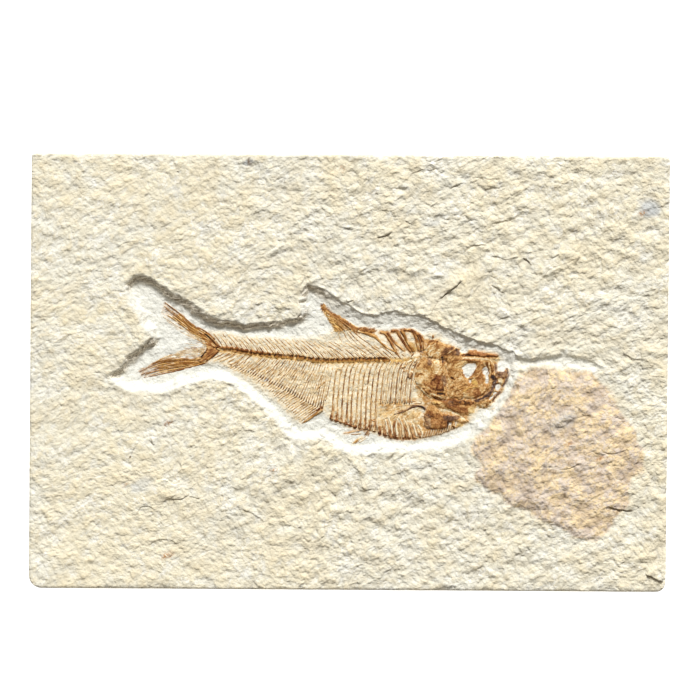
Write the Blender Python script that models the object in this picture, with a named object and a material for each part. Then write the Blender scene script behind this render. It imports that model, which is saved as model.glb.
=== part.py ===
"""A fossil fish lying in the recess that was cut round it in a sawn slab of limestone.

Metres, +Z up. The slab lies flat, its sawn underside on Z = 0 and its middle over the origin.
+X runs from the tail to the snout, and +Y from the belly to the back fin.
Outlines and bones are lists of places in millimetres, as a drawing of the specimen would give them.
"""

import math

import bmesh
import bpy
from mathutils import Vector, noise

MM = 0.001

# The slab: its four sawn corners, how far each is rounded, and its heights.
SLAB_CORNERS = ((-76.3, 52.7), (77.0, 51.9), (75.9, -52.7), (-77.0, -51.7))
CORNER_RADII = (0.9, 1.1, 2.4, 3.2)
SLAB_THICKNESS = 10.0
SURFACE_CELLS = (44, 30)
SURFACE_OVERSIZE = (158.0, 109.0)

# Lumps of the split face: (height, wavelength along the grain, wavelength across it).
SPLIT_FACE_LUMPS = ((0.30, 34.0, 22.0), (0.22, 13.0, 8.0))
GRAIN_TURN = math.radians(28.0)
MOUND_HEIGHT = 0.55
MOUND_SHOULDER = 3.0

# The recess: its floor drops from the head to the tail, and its walls lean outwards.
FLOOR_TAIL = (-57.0, 8.0)
FLOOR_HEAD = (41.0, 8.9)
RECESS_WALL_RUN = 1.2
GROOVE_FLOOR = 9.3
GROOVE_WALL_RUN = 0.4
CUTTER_TOP = 14.0

# Bones lie this far clear of the stone and of each other.
BONE_GAP = 0.3
PLATE_THICKNESS = 0.7
TAIL_BLADE_THICKNESS = 0.42
ROD_RADIUS = 0.26

RECESS_RIM = (
    (-53.9, 20.8), (-52.9, 22.3), (-51.3, 23.2), (-49.4, 23.4), (-47.6, 22.8),
    (-44.8, 21.0), (-42.0, 19.1), (-39.2, 17.6), (-36.4, 15.7), (-34.0, 13.9),
    (-31.8, 12.9), (-28.0, 12.4), (-25.0, 11.9), (-21.5, 12.1), (-17.5, 12.5),
    (-13.6, 13.0), (-11.8, 14.4), (-12.0, 17.0), (-11.8, 19.4), (-10.1, 21.6),
    (-8.2, 20.7), (-5.2, 19.8), (-3.2, 18.2), (-0.8, 16.8), (1.4, 15.9),
    (3.4, 14.7), (5.6, 14.1), (8.2, 14.8), (12.0, 14.7), (16.0, 13.9),
    (19.0, 13.6), (22.0, 11.9), (25.0, 10.1), (29.0, 8.3), (33.0, 6.9),
    (37.4, 5.9), (40.4, 4.2), (41.0, 2.0), (40.2, -1.0), (38.4, -5.0),
    (36.2, -8.6), (33.4, -12.0), (30.6, -14.7), (27.2, -16.9), (23.0, -18.5),
    (17.0, -19.2), (9.0, -19.4), (1.0, -19.9), (-2.4, -19.0), (-5.4, -16.9),
    (-8.6, -15.9), (-12.4, -16.5), (-15.4, -14.7), (-18.4, -11.6), (-21.6, -8.2),
    (-25.4, -5.2), (-28.4, -2.9), (-31.6, -1.9), (-36.0, -2.4), (-41.0, -3.8),
    (-46.0, -5.2), (-51.0, -4.8), (-55.4, -3.6), (-57.9, -1.4), (-56.8, 0.4),
    (-55.0, 1.4), (-53.8, 3.2), (-51.8, 5.2), (-49.6, 7.0), (-47.7, 8.5),
    (-49.4, 10.4), (-51.0, 13.0), (-52.8, 16.2), (-53.8, 18.6),
)
SNOUT_GROOVE = (
    (39.2, 4.4), (42.5, 3.4), (47.0, 4.0), (52.0, 4.5), (56.5, 3.6), (60.0, 2.0),
    (60.4, 0.9), (58.0, 0.3), (53.0, 0.9), (47.5, 1.3), (43.5, 0.9), (39.6, 0.6),
)
STAINED_MOUND = (
    (41.5, -0.5), (46.0, 0.2), (52.0, 0.5), (57.0, -0.3), (61.5, -2.2), (65.5, -5.5),
    (68.0, -10.0), (69.8, -16.0), (70.0, -22.0), (69.0, -28.0), (66.5, -34.0),
    (63.5, -37.8), (59.5, -39.9), (55.0, -39.6), (50.5, -38.0), (45.5, -35.2),
    (40.0, -32.0), (35.5, -29.0), (31.0, -25.6), (30.0, -21.0), (31.0, -16.5),
    (34.5, -12.0), (38.0, -7.0),
)

# The backbone: the line of the vertebrae's middles, from the tail to the head.
BACKBONE = (
    (-32.4, 5.6), (-29.0, 5.1), (-25.0, 4.7), (-20.0, 4.0), (-15.0, 3.6), (-10.0, 3.0),
    (-5.0, 2.6), (0.0, 2.7), (5.0, 2.9), (9.0, 2.9), (13.0, 2.6), (16.0, 2.6),
)
VERTEBRA_COUNT = 38
VERTEBRA_RADIUS = 0.68
VERTEBRA_WAIST = 0.5
TAIL_BASE = (
    (-35.2, 8.6), (-33.0, 7.6), (-31.2, 6.0), (-31.6, 4.9),
    (-34.2, 3.0), (-35.9, 2.6), (-35.2, 4.6), (-34.4, 6.0),
)

# Spines over and under the backbone: where each row starts and ends, and how its spines lean.
UPPER_SPINES = {"first": -30.4, "last": 8.0, "count": 28, "lean": (-3.3, 3.9), "last_lean": (-3.4, 2.7)}
LOWER_SPINES = {"first": -28.0, "last": -5.6, "count": 16, "lean": (-3.4, -1.9), "last_lean": (-1.5, -4.4)}

BELLY_EDGE = (
    (-4.3, -11.3), (-2.0, -12.0), (0.4, -12.8), (2.4, -13.2), (4.4, -13.7), (6.6, -14.5),
    (9.0, -15.1), (12.0, -15.8), (15.0, -15.8), (18.5, -15.3), (22.0, -14.6),
)
SCUTE_STEP = 1.15
RIB_COUNT = 16
RIB_PITCH = 1.15
RIB_RADIUS = 0.3

ANAL_FIN_BASE = (
    (-26.6, 0.6), (-23.0, -0.6), (-20.5, -1.8), (-18.0, -3.2), (-15.0, -4.7),
    (-12.6, -6.1), (-10.2, -7.5), (-8.0, -8.3), (-6.6, -8.7),
)
ANAL_RAY_COUNT = 20
DORSAL_FIN_BLADE = (
    (-6.7, 16.1), (-4.4, 14.5), (-1.8, 12.9), (0.6, 11.5), (2.2, 10.9), (4.6, 10.7), (6.2, 10.2),
    (6.1, 9.6), (3.6, 9.5), (1.2, 9.7), (-1.0, 9.8), (-3.4, 10.0), (-4.6, 11.2), (-5.8, 13.0), (-7.0, 14.8),
)
DORSAL_FIN_RODS = (
    ((0.9, 10.2), (1.6, 8.4), (3.2, 6.9)),
    ((2.4, 10.0), (4.2, 8.4), (6.4, 7.0)),
    ((4.4, 9.9), (6.4, 8.0), (8.2, 6.4)),
)
PREDORSAL_BONES = (
    ((7.6, 9.5), (8.4, 9.3), (9.3, 7.8), (10.2, 6.2)),
    ((9.0, 9.9), (9.9, 8.9), (11.0, 7.4), (11.9, 6.2)),
    ((10.4, 10.0), (11.5, 9.4), (12.4, 7.8), (13.2, 6.4)),
    ((12.3, 9.9), (13.1, 8.2), (14.1, 6.6)),
    ((13.5, 10.1), (14.2, 8.4), (15.1, 6.8)),
    ((14.4, 10.0), (15.5, 9.0), (16.2, 7.4), (16.4, 6.2)),
    ((16.2, 9.4), (17.1, 8.1), (17.6, 6.8)),
)

TAIL_LOBES = {
    "tail_fin_upper": {
        "blade": (
            (-44.6, 16.7), (-42.4, 15.2), (-39.4, 12.8), (-36.4, 10.8), (-34.2, 9.6),
            (-35.6, 8.7), (-38.6, 9.6), (-41.6, 11.4), (-44.8, 14.2),
        ),
        "root": (-35.2, 9.3),
        "tips": ((-44.5, 16.2), (-44.6, 15.2), (-44.4, 14.2), (-43.2, 12.9), (-41.8, 11.9)),
    },
    "tail_fin_lower": {
        "blade": (
            (-36.6, 2.2), (-40.2, 0.9), (-44.6, 0.1), (-49.6, -0.9), (-50.6, -0.1),
            (-48.4, 1.8), (-44.0, 3.2), (-40.0, 4.2), (-36.4, 4.0),
        ),
        "root": (-37.0, 3.0),
        "tips": ((-50.2, -0.3), (-49.4, 0.6), (-48.4, 1.5), (-46.0, 2.4), (-43.4, 3.1)),
    },
}

# The crushed head: each bone's outline, thickness and, for the skull, its eye socket.
HEAD_PLATES = {
    "skull": {
        "outline": (
            (18.9, 6.6), (19.4, 7.6), (20.2, 9.0), (21.0, 7.8), (22.6, 7.2), (25.2, 6.2), (26.4, 4.9),
            (28.4, 4.5), (28.9, 5.3), (32.2, 4.9), (35.5, 4.3), (35.2, 3.2), (34.2, 2.6), (34.2, 0.4),
            (33.7, -2.0), (33.3, -3.8), (32.0, -5.2), (30.0, -5.9), (27.5, -5.9), (24.2, -5.3),
            (23.7, -1.0), (23.2, 2.6), (20.4, 3.6), (18.2, 3.4),
        ),
        "thickness": 0.9,
        "hole": ((27.4, 0.2), (28.2, 1.4), (29.4, 1.6), (29.9, 0.8), (29.2, -0.6), (28.3, -1.2)),
    },
    "gill_cover": {
        "outline": (
            (17.2, 2.2), (20.0, 3.0), (22.7, 2.0), (23.1, -1.0), (23.6, -4.6),
            (22.4, -5.4), (19.8, -5.2), (17.6, -3.6), (16.5, -1.0), (16.4, 1.0),
        ),
        "thickness": 0.8,
    },
    "gill_rays": {
        "outline": (
            (22.6, -7.0), (24.4, -6.5), (27.4, -6.5), (29.7, -6.8), (29.6, -7.8),
            (28.6, -8.4), (28.4, -9.8), (26.6, -9.6), (24.2, -8.8), (22.8, -8.0),
        ),
        "thickness": 0.7,
    },
    "lower_jaw": {
        "outline": (
            (35.9, 0.1), (37.9, 0.7), (38.1, -0.4), (37.3, -2.4), (36.6, -4.0), (35.4, -5.3), (33.9, -7.0),
            (30.6, -7.2), (31.2, -6.3), (33.0, -5.6), (34.3, -3.9), (35.1, -2.0), (36.4, -1.1),
        ),
        "thickness": 0.8,
    },
    "shoulder_girdle": {
        "outline": (
            (18.6, -8.6), (20.6, -8.4), (21.8, -9.8), (24.0, -10.4), (25.9, -10.6), (25.2, -11.6),
            (23.8, -12.2), (23.6, -13.3), (20.6, -13.7), (18.6, -12.6), (19.4, -10.8),
        ),
        "thickness": 0.7,
    },
}
PECTORAL_FIN = (
    (5.6, -7.0), (9.2, -6.7), (13.4, -6.2), (16.6, -6.6),
    (17.6, -8.3), (15.4, -8.8), (12.2, -9.6), (8.6, -8.8),
)
PELVIC_FIN = (
    (-1.4, -14.5), (0.8, -14.0), (3.2, -14.2), (4.6, -14.8),
    (3.6, -16.0), (1.2, -17.2), (0.2, -16.2), (-0.4, -15.2),
)
FIN_THICKNESS = 0.4

# Each material: linear colour and roughness. Nothing here is metal.
STONE = ((0.80, 0.75, 0.60), 0.9)
DARK_BONE = ((0.33, 0.17, 0.06), 0.55)
LIGHT_BONE = ((0.55, 0.34, 0.15), 0.7)


def clear_scene():
    for obj in list(bpy.data.objects):
        bpy.data.objects.remove(obj)


def make_collection(name):
    made = bpy.data.collections.new(name)
    bpy.context.scene.collection.children.link(made)
    return made


def paint(obj, look):
    """Gives a part its own material, named after it."""
    colour, roughness = look
    material = bpy.data.materials.new(obj.name)
    material.use_nodes = True
    shader = material.node_tree.nodes["Principled BSDF"]
    shader.inputs["Base Color"].default_value = (*colour, 1.0)
    shader.inputs["Roughness"].default_value = roughness
    shader.inputs["Metallic"].default_value = 0.0
    obj.data.materials.append(material)


def floor_height(x):
    """Height of the recess floor at x, all in millimetres: a plane that falls towards the tail."""
    slope = (FLOOR_HEAD[1] - FLOOR_TAIL[1]) / (FLOOR_HEAD[0] - FLOOR_TAIL[0])
    return FLOOR_TAIL[1] + slope * (x - FLOOR_TAIL[0])


def spline_point(p0, p1, p2, p3, t):
    """A point between p1 and p2 on the smooth curve that passes through all four."""
    return 0.5 * (
        2 * p1
        + (p2 - p0) * t
        + (2 * p0 - 5 * p1 + 4 * p2 - p3) * t * t
        + (3 * p1 - p0 - 3 * p2 + p3) * t ** 3
    )


def smooth_line(points, per_span, is_closed=False):
    """The points joined by a smooth curve, with per_span steps between each two."""
    known = [Vector(p) for p in points]
    count = len(known)
    line = []
    for i in range(count if is_closed else count - 1):
        if is_closed:
            around = [known[(i + k) % count] for k in (-1, 0, 1, 2)]
        else:
            around = [known[min(max(i + k, 0), count - 1)] for k in (-1, 0, 1, 2)]
        line += [spline_point(*around, step / per_span) for step in range(per_span)]
    return line if is_closed else [*line, known[-1]]


def point_along(line, share):
    """The point that lies this share of the way along an open line of vectors."""
    lengths = [(b - a).length for a, b in zip(line, line[1:])]
    left = share * sum(lengths)
    for a, b, length in zip(line, line[1:], lengths):
        if left <= length:
            return a.lerp(b, left / length)
        left -= length
    return line[-1].copy()


def height_on(line, x):
    """The line's second coordinate where its first one is x."""
    for a, b in zip(line, line[1:]):
        if a.x <= x <= b.x:
            return a.lerp(b, (x - a.x) / (b.x - a.x)).y
    return line[0].y if x < line[0].x else line[-1].y


def distance_inside(outline, x, y):
    """How far (x, y) lies inside a closed outline of vectors, or 0 outside it."""
    here = Vector((x, y))
    is_inside = False
    nearest = math.inf
    for a, b in zip(outline, [*outline[1:], outline[0]]):
        edge = b - a
        share = min(max((here - a).dot(edge) / edge.length_squared, 0.0), 1.0)
        nearest = min(nearest, (here - a - edge * share).length)
        if (a.y > y) != (b.y > y) and x < a.x + (y - a.y) / (b.y - a.y) * edge.x:
            is_inside = not is_inside
    return nearest if is_inside else 0.0


def split_face_height(x, y, mound):
    """Height of the slab's rough upper face at (x, y), in millimetres."""
    along = x * math.cos(GRAIN_TURN) + y * math.sin(GRAIN_TURN)
    across = y * math.cos(GRAIN_TURN) - x * math.sin(GRAIN_TURN)
    height = SLAB_THICKNESS
    for lump, long_wave, short_wave in SPLIT_FACE_LUMPS:
        height += lump * noise.noise(Vector((along / long_wave, across / short_wave, lump * 50)))
    rise = min(distance_inside(mound, x, y) / MOUND_SHOULDER, 1.0)
    return height + MOUND_HEIGHT * rise * rise * (3 - 2 * rise)


def rounded_corners(corners, radii, steps=4):
    """A polygon's outline with each corner turned into an arc."""
    outline = []
    count = len(corners)
    for i, radius in enumerate(radii):
        corner = Vector(corners[i])
        before = (Vector(corners[i - 1]) - corner).normalized()
        after = (Vector(corners[(i + 1) % count]) - corner).normalized()
        half_angle = before.angle(after) / 2
        middle = corner + (before + after).normalized() * radius / math.sin(half_angle)
        start = (corner + before * radius / math.tan(half_angle) - middle).normalized()
        end = (corner + after * radius / math.tan(half_angle) - middle).normalized()
        outline += [middle + start.slerp(end, step / steps) * radius for step in range(steps + 1)]
    return outline


def mesh_object(name, mesh, collection):
    obj = bpy.data.objects.new(name, mesh)
    collection.objects.link(obj)
    return obj


def curve_object(name, splines, collection, is_cyclic=False):
    """A curve of straight spans. Each spline is a list of (x, y, z, radius), in millimetres."""
    curve = bpy.data.curves.new(name, "CURVE")
    curve.dimensions = "2D" if is_cyclic else "3D"
    for points in splines:
        spline = curve.splines.new("POLY")
        spline.points.add(len(points) - 1)
        spline.use_cyclic_u = is_cyclic
        for point, (x, y, z, radius) in zip(spline.points, points):
            point.co = (x * MM, y * MM, z * MM, 1.0)
            point.radius = radius
    return mesh_object(name, curve, collection)


def as_mesh(curve, collection):
    """The curve's evaluated shape as a mesh object with its caps welded. The curve is removed."""
    bpy.context.view_layer.update()
    graph = bpy.context.evaluated_depsgraph_get()
    mesh = bpy.data.meshes.new_from_object(curve.evaluated_get(graph))
    work = bmesh.new()
    work.from_mesh(mesh)
    bmesh.ops.remove_doubles(work, verts=work.verts, dist=0.00001)
    bmesh.ops.recalc_face_normals(work, faces=work.faces)
    work.to_mesh(mesh)
    work.free()
    name = curve.name
    made = mesh_object("mesh", mesh, collection)
    made.matrix_world = curve.matrix_world
    bpy.data.objects.remove(curve)
    made.name = name
    mesh.name = name
    return made


def flat_plate(name, outline, low, high, collection, holes=()):
    """A flat outline, with any holes, made as thick as the space between two heights."""
    loops = [[(p[0], p[1], 0.0, 1.0) for p in loop] for loop in (outline, *holes)]
    curve = curve_object(name, loops, collection, is_cyclic=True)
    curve.data.fill_mode = "BOTH"
    curve.data.extrude = (high - low) / 2 * MM
    curve.location.z = (high + low) / 2 * MM
    return as_mesh(curve, collection)


def rods(name, strokes, collection, sides=4):
    """Tapered round rods. Each stroke is (points, first radius, last radius), lying on the recess floor."""
    splines = []
    for points, first, last in strokes:
        steps = max(len(points) - 1, 1)
        splines.append([
            (p[0], p[1], floor_height(p[0]) + BONE_GAP + max(first, last), first + (last - first) * i / steps)
            for i, p in enumerate(points)
        ])
    curve = curve_object(name, splines, collection)
    curve.data.bevel_depth = MM
    curve.data.bevel_resolution = (sides - 4) // 2
    curve.data.use_fill_caps = True
    return as_mesh(curve, collection)


def join_solids(body, others):
    """Fuses other meshes into body with Boolean unions, and hides them as cutters."""
    for other in others:
        union = body.modifiers.new("fuse_" + other.name, "BOOLEAN")
        union.operation = "UNION"
        union.solver = "EXACT"
        union.use_self = True
        union.object = other
        hide_helper(other)
    return body


def hide_helper(obj):
    obj.hide_render = True
    obj.display_type = "WIRE"


def lowest_face_inset(obj, run, drop_to):
    """Insets a cutter's lowest face by run and lowers it, so that the cutter's walls lean.

    drop_to gives the height of the new face at each x, in millimetres.
    """
    work = bmesh.new()
    work.from_mesh(obj.data)
    lowest = min(v.co.z for v in work.verts)
    base = [f for f in work.faces if all(abs(v.co.z - lowest) < 0.00001 for v in f.verts)]
    floor = bmesh.ops.dissolve_faces(work, faces=base)["region"]
    bmesh.ops.inset_region(work, faces=floor, thickness=run * MM, use_even_offset=True)
    for vert in floor[0].verts:
        vert.co.z = drop_to(vert.co.x / MM) * MM - obj.location.z
    bmesh.ops.recalc_face_normals(work, faces=work.faces)
    work.to_mesh(obj.data)
    work.free()


def make_slab(parts, cutters):
    """The sawn slab with its split upper face, the fish's recess and the groove past the snout."""
    mound = smooth_line(STAINED_MOUND, 2, is_closed=True)
    work = bmesh.new()
    bmesh.ops.create_grid(work, x_segments=SURFACE_CELLS[0], y_segments=SURFACE_CELLS[1], size=0.5)
    for vert in work.verts:
        x = vert.co.x * SURFACE_OVERSIZE[0]
        y = vert.co.y * SURFACE_OVERSIZE[1]
        vert.co = Vector((x, y, split_face_height(x, y, mound))) * MM
    rim = [edge for edge in work.edges if edge.is_boundary]
    skirt = bmesh.ops.extrude_edge_only(work, edges=rim)["geom"]
    for vert in (item for item in skirt if isinstance(item, bmesh.types.BMVert)):
        vert.co.z = -SLAB_THICKNESS / 2 * MM
    bmesh.ops.edgeloop_fill(work, edges=[edge for edge in work.edges if edge.is_boundary])
    bmesh.ops.recalc_face_normals(work, faces=work.faces)
    mesh = bpy.data.meshes.new("slab")
    work.to_mesh(mesh)
    work.free()
    slab = mesh_object("slab", mesh, parts)

    outline = rounded_corners(SLAB_CORNERS, CORNER_RADII)
    saw = flat_plate("sawn_outline", outline, 0.0, CUTTER_TOP, cutters)
    recess_rim = smooth_line(RECESS_RIM, 2, is_closed=True)
    recess = flat_plate("recess_cutter", recess_rim, SLAB_THICKNESS, CUTTER_TOP, cutters)
    lowest_face_inset(recess, RECESS_WALL_RUN, floor_height)
    groove_rim = smooth_line(SNOUT_GROOVE, 2, is_closed=True)
    groove = flat_plate("groove_cutter", groove_rim, SLAB_THICKNESS, CUTTER_TOP, cutters)
    lowest_face_inset(groove, GROOVE_WALL_RUN, lambda x: GROOVE_FLOOR)
    for cutter, operation in ((saw, "INTERSECT"), (recess, "DIFFERENCE"), (groove, "DIFFERENCE")):
        cut = slab.modifiers.new(cutter.name, "BOOLEAN")
        cut.operation = operation
        cut.solver = "EXACT"
        cut.object = cutter
        hide_helper(cutter)
    paint(slab, STONE)


def leaning_spines(line, row, offset):
    """Strokes for a row of spines that start beside the backbone and lean towards the tail."""
    strokes = []
    for i in range(row["count"]):
        share = i / (row["count"] - 1)
        x = row["first"] + (row["last"] - row["first"]) * share
        lean = Vector(row["lean"]).lerp(Vector(row["last_lean"]), share)
        root = Vector((x, height_on(line, x) + offset))
        tip = root + lean
        middle = root + lean * 0.5 + Vector((0.12, 0.10))
        strokes.append(((root, middle, tip), ROD_RADIUS, ROD_RADIUS * 0.5))
    return strokes


def make_backbone(parts, cutters):
    """Vertebrae as a beaded rod, fused with the spines above and below and the plates that carry the tail."""
    line = smooth_line(BACKBONE, 4)
    beads = []
    for i in range(2 * VERTEBRA_COUNT + 1):
        p = point_along(line, i / (2 * VERTEBRA_COUNT))
        radius = VERTEBRA_RADIUS if i % 2 else VERTEBRA_WAIST
        beads.append((p.x, p.y, floor_height(p.x) + BONE_GAP + VERTEBRA_RADIUS, radius))
    curve = curve_object("backbone", [beads], parts)
    curve.data.bevel_depth = MM
    curve.data.bevel_resolution = 1
    curve.data.use_fill_caps = True
    backbone = as_mesh(curve, parts)
    upper = rods("upper_spines", leaning_spines(line, UPPER_SPINES, 0.2), cutters)
    lower = rods("lower_spines", leaning_spines(line, LOWER_SPINES, -0.2), cutters)
    low = floor_height(TAIL_BASE[0][0]) + BONE_GAP
    tail_base = flat_plate("tail_base", TAIL_BASE, low, low + PLATE_THICKNESS, cutters)
    join_solids(backbone, (upper, lower, tail_base))
    paint(backbone, DARK_BONE)


def make_rib_cage(parts, cutters):
    """The row of belly scutes as one toothed rod, fused with the ribs that run up from it."""
    edge = smooth_line(BELLY_EDGE, 3)
    length = sum((b - a).length for a, b in zip(edge, edge[1:]))
    teeth = 2 * round(length / SCUTE_STEP)
    beads = []
    for i in range(teeth + 1):
        p = point_along(edge, i / teeth)
        radius = 0.5 if i % 2 else 0.32
        beads.append((p.x, p.y + 0.3, floor_height(p.x) + BONE_GAP + 0.5, radius))
    curve = curve_object("rib_cage", [beads], parts)
    curve.data.bevel_depth = MM
    curve.data.bevel_resolution = 0
    curve.data.use_fill_caps = True
    cage = as_mesh(curve, parts)
    spine = smooth_line(BACKBONE, 4)
    strokes = []
    for i in range(RIB_COUNT):
        foot_x = -4.0 + RIB_PITCH * i
        foot = Vector((foot_x, height_on(edge, foot_x) + 0.4))
        head_x = foot_x + 1.8 + 0.5 * math.sin(math.pi * i / RIB_COUNT)
        head = Vector((head_x, height_on(spine, head_x) - VERTEBRA_RADIUS - BONE_GAP - ROD_RADIUS))
        knee = Vector((foot_x + 0.35, foot.y * 0.45))
        bend = Vector((foot_x + 0.95, head.y - 1.9))
        strokes.append(((foot, knee, bend, head), RIB_RADIUS, ROD_RADIUS * 0.7))
    join_solids(cage, (rods("ribs", strokes, cutters),))
    paint(cage, LIGHT_BONE)


def make_anal_fin(parts, cutters):
    """The rod along the fin's base, fused with its rays and with the short rods that carry them."""
    base = smooth_line(ANAL_FIN_BASE, 3)
    spine = [(p.x, p.y, floor_height(p.x) + BONE_GAP + 0.32, 0.32) for p in base[::2]]
    curve = curve_object("anal_fin", [spine], parts)
    curve.data.bevel_depth = MM
    curve.data.bevel_resolution = 0
    curve.data.use_fill_caps = True
    fin = as_mesh(curve, parts)
    rays = []
    props = []
    for i in range(ANAL_RAY_COUNT):
        share = i / (ANAL_RAY_COUNT - 1)
        root = point_along(base, share)
        reach = 1.2 + 4.6 * share ** 1.5
        rays.append(((root, root + Vector((-0.86, -0.50)) * reach), ROD_RADIUS, ROD_RADIUS * 0.45))
        rise = 0.8 + 2.6 * share
        props.append(((root, root + Vector((0.50, 0.86)) * rise), ROD_RADIUS * 0.8, ROD_RADIUS * 0.5))
    join_solids(fin, (rods("anal_rays", rays, cutters), rods("anal_props", props[2:], cutters)))
    paint(fin, LIGHT_BONE)


def plate_on_floor(name, outline, thickness, collection, holes=(), lift=0.0):
    """A flat bone that lies just clear of the recess floor under its highest end."""
    highest = max(floor_height(p[0]) for p in outline) + BONE_GAP + lift
    return flat_plate(name, outline, highest, highest + thickness, collection, holes)


def make_dorsal_fin(parts, cutters):
    outline = smooth_line(DORSAL_FIN_BLADE, 2, is_closed=True)
    fin = plate_on_floor("dorsal_fin", outline, PLATE_THICKNESS, parts)
    strokes = [(points, ROD_RADIUS * 1.3, ROD_RADIUS * 0.6) for points in DORSAL_FIN_RODS]
    join_solids(fin, (rods("dorsal_rods", strokes, cutters),))
    paint(fin, DARK_BONE)


def make_predorsal_bones(parts):
    for number, points in enumerate(PREDORSAL_BONES, start=1):
        line = smooth_line(points, 2)
        made = rods(f"predorsal_bone_{number}", [(line, 0.36, 0.2)], parts)
        paint(made, DARK_BONE)


def make_tail_lobes(parts, cutters):
    """Each lobe as a thin blade with its main rays raised on it."""
    for name, lobe in TAIL_LOBES.items():
        outline = smooth_line(lobe["blade"], 2, is_closed=True)
        blade = plate_on_floor(name, outline, TAIL_BLADE_THICKNESS, parts)
        rays = [((lobe["root"], tip), 0.42, 0.3) for tip in lobe["tips"]]
        join_solids(blade, (rods(name + "_rays", rays, cutters),))
        paint(blade, DARK_BONE)


def make_head(parts):
    """The crushed bones of the head, as flat plates."""
    for name, plate in HEAD_PLATES.items():
        outline = smooth_line(plate["outline"], 2, is_closed=True)
        holes = [smooth_line(plate["hole"], 2, is_closed=True)] if "hole" in plate else ()
        made = plate_on_floor(name, outline, plate["thickness"], parts, holes)
        paint(made, DARK_BONE)


def make_paired_fins(parts):
    """The faint pectoral fin, which lies over the ribs, and the pelvic fin below the belly."""
    over_ribs = 2 * RIB_RADIUS + BONE_GAP
    for name, outline, lift in (("pectoral_fin", PECTORAL_FIN, over_ribs), ("pelvic_fin", PELVIC_FIN, 0.0)):
        fin = plate_on_floor(name, smooth_line(outline, 2, is_closed=True), FIN_THICKNESS, parts, lift=lift)
        paint(fin, LIGHT_BONE)


def build():
    clear_scene()
    parts = make_collection("fossil_fish")
    cutters = make_collection("cutters")
    make_slab(parts, cutters)
    make_backbone(parts, cutters)
    make_rib_cage(parts, cutters)
    make_anal_fin(parts, cutters)
    make_dorsal_fin(parts, cutters)
    make_predorsal_bones(parts)
    make_tail_lobes(parts, cutters)
    make_head(parts)
    make_paired_fins(parts)


build()
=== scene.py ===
import math

import bpy
import numpy as np
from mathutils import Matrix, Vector, kdtree, noise


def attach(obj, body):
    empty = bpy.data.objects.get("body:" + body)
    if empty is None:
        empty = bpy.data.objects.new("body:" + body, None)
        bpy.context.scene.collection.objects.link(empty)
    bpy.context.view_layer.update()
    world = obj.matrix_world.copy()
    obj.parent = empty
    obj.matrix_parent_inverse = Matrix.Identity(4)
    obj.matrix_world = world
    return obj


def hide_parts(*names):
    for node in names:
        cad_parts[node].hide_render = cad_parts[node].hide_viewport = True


# A fossil fish in the recess cut round it in a sawn slab of limestone, seen from above.
# Places and sizes are in millimetres, X from the tail to the snout, Y from the belly to the back fin.

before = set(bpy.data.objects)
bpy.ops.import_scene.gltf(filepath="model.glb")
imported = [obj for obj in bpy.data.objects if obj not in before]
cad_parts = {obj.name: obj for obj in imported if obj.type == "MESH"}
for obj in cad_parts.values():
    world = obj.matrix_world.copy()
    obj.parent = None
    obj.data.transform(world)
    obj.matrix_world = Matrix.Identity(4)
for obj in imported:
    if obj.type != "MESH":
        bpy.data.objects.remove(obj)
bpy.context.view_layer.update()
bpy.ops.object.select_all(action="DESELECT")
noise.seed_set(7)       # the vector noise that roughens the bones is the same each run
mm = 0.001

camera = {
    "aim": (0.12, 5.38),        # what the middle of the picture looks at
    "millimetresAcross": 168.0,  # width of the picture at the slab's face
    "distance": 900.0,
}

light = {
    "towardsSun": (0.13, 0.78, 0.60),
    "sunStrength": 4.0,
    "sunSoftness": 13.0,    # degrees
    "skyStrength": 0.25,
    "skyColour": (1.0, 0.93, 0.83),
}

slab = {
    "corners": ((-76.3, 52.7), (77.0, 51.9), (75.9, -52.7), (-77.0, -51.7)),
    "cornerRadii": (0.9, 1.1, 2.4, 3.2),
    "thickness": 10.0,
    # above the first the rough face is held back, so that it rises by the second at most
    "highest": (10.45, 0.4),
    "cells": (256, 175),
    "fineMargin": 2.2,      # the mesh is twice as fine to this far outside the recess
    "sideRings": 9,
    "grainTurn": math.radians(28.0),
    "lumps": ((0.30, 34.0, 22.0), (0.22, 13.0, 8.0)),
    "edgeWear": 0.45,       # how far in the sawn edge is broken, and how deep
    "edgeDrop": 0.30,
    "sideRoughness": 0.10,
    "sideFrom": (74.0, 50.0),       # a point further out than this in X or Y is on a side
}

flakes = {
    "warp": (9.0, 7.0, 1.4),    # wavelength along the grain, across it, height
    "large": (5.2, 3.9, 0.42),
    "middle": (2.3, 1.9, 0.25),
    "cushions": (2.9, 2.4, 0.27),   # rounded lumps with sharp creases between them
    "small": (1.15, 1.05, 0.13),
    "overhang": 1.0,            # how far a flake leans over its lower edge
    "calmLeft": 0.56,           # the left side split more evenly than the right
    "calmSpan": (-60.0, 6.0, 14.0),     # from where to where, and how far that border wanders
    "drift": (34.0, 3.0),       # wavelength and reach of the bends in the grain
}

breakShape = {
    "reach": 3.0,       # how far off the step runs out
    "lip": 0.22,
    "crease": (0.14, 0.2),      # its reach, and how much more for each millimetre of the step
    "creaseDepth": 0.35,        # share of the step
    # how dark the painted shadow in the crease under a lip is, for each millimetre of the step
    "shadowDarkness": 1.8,
}

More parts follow.
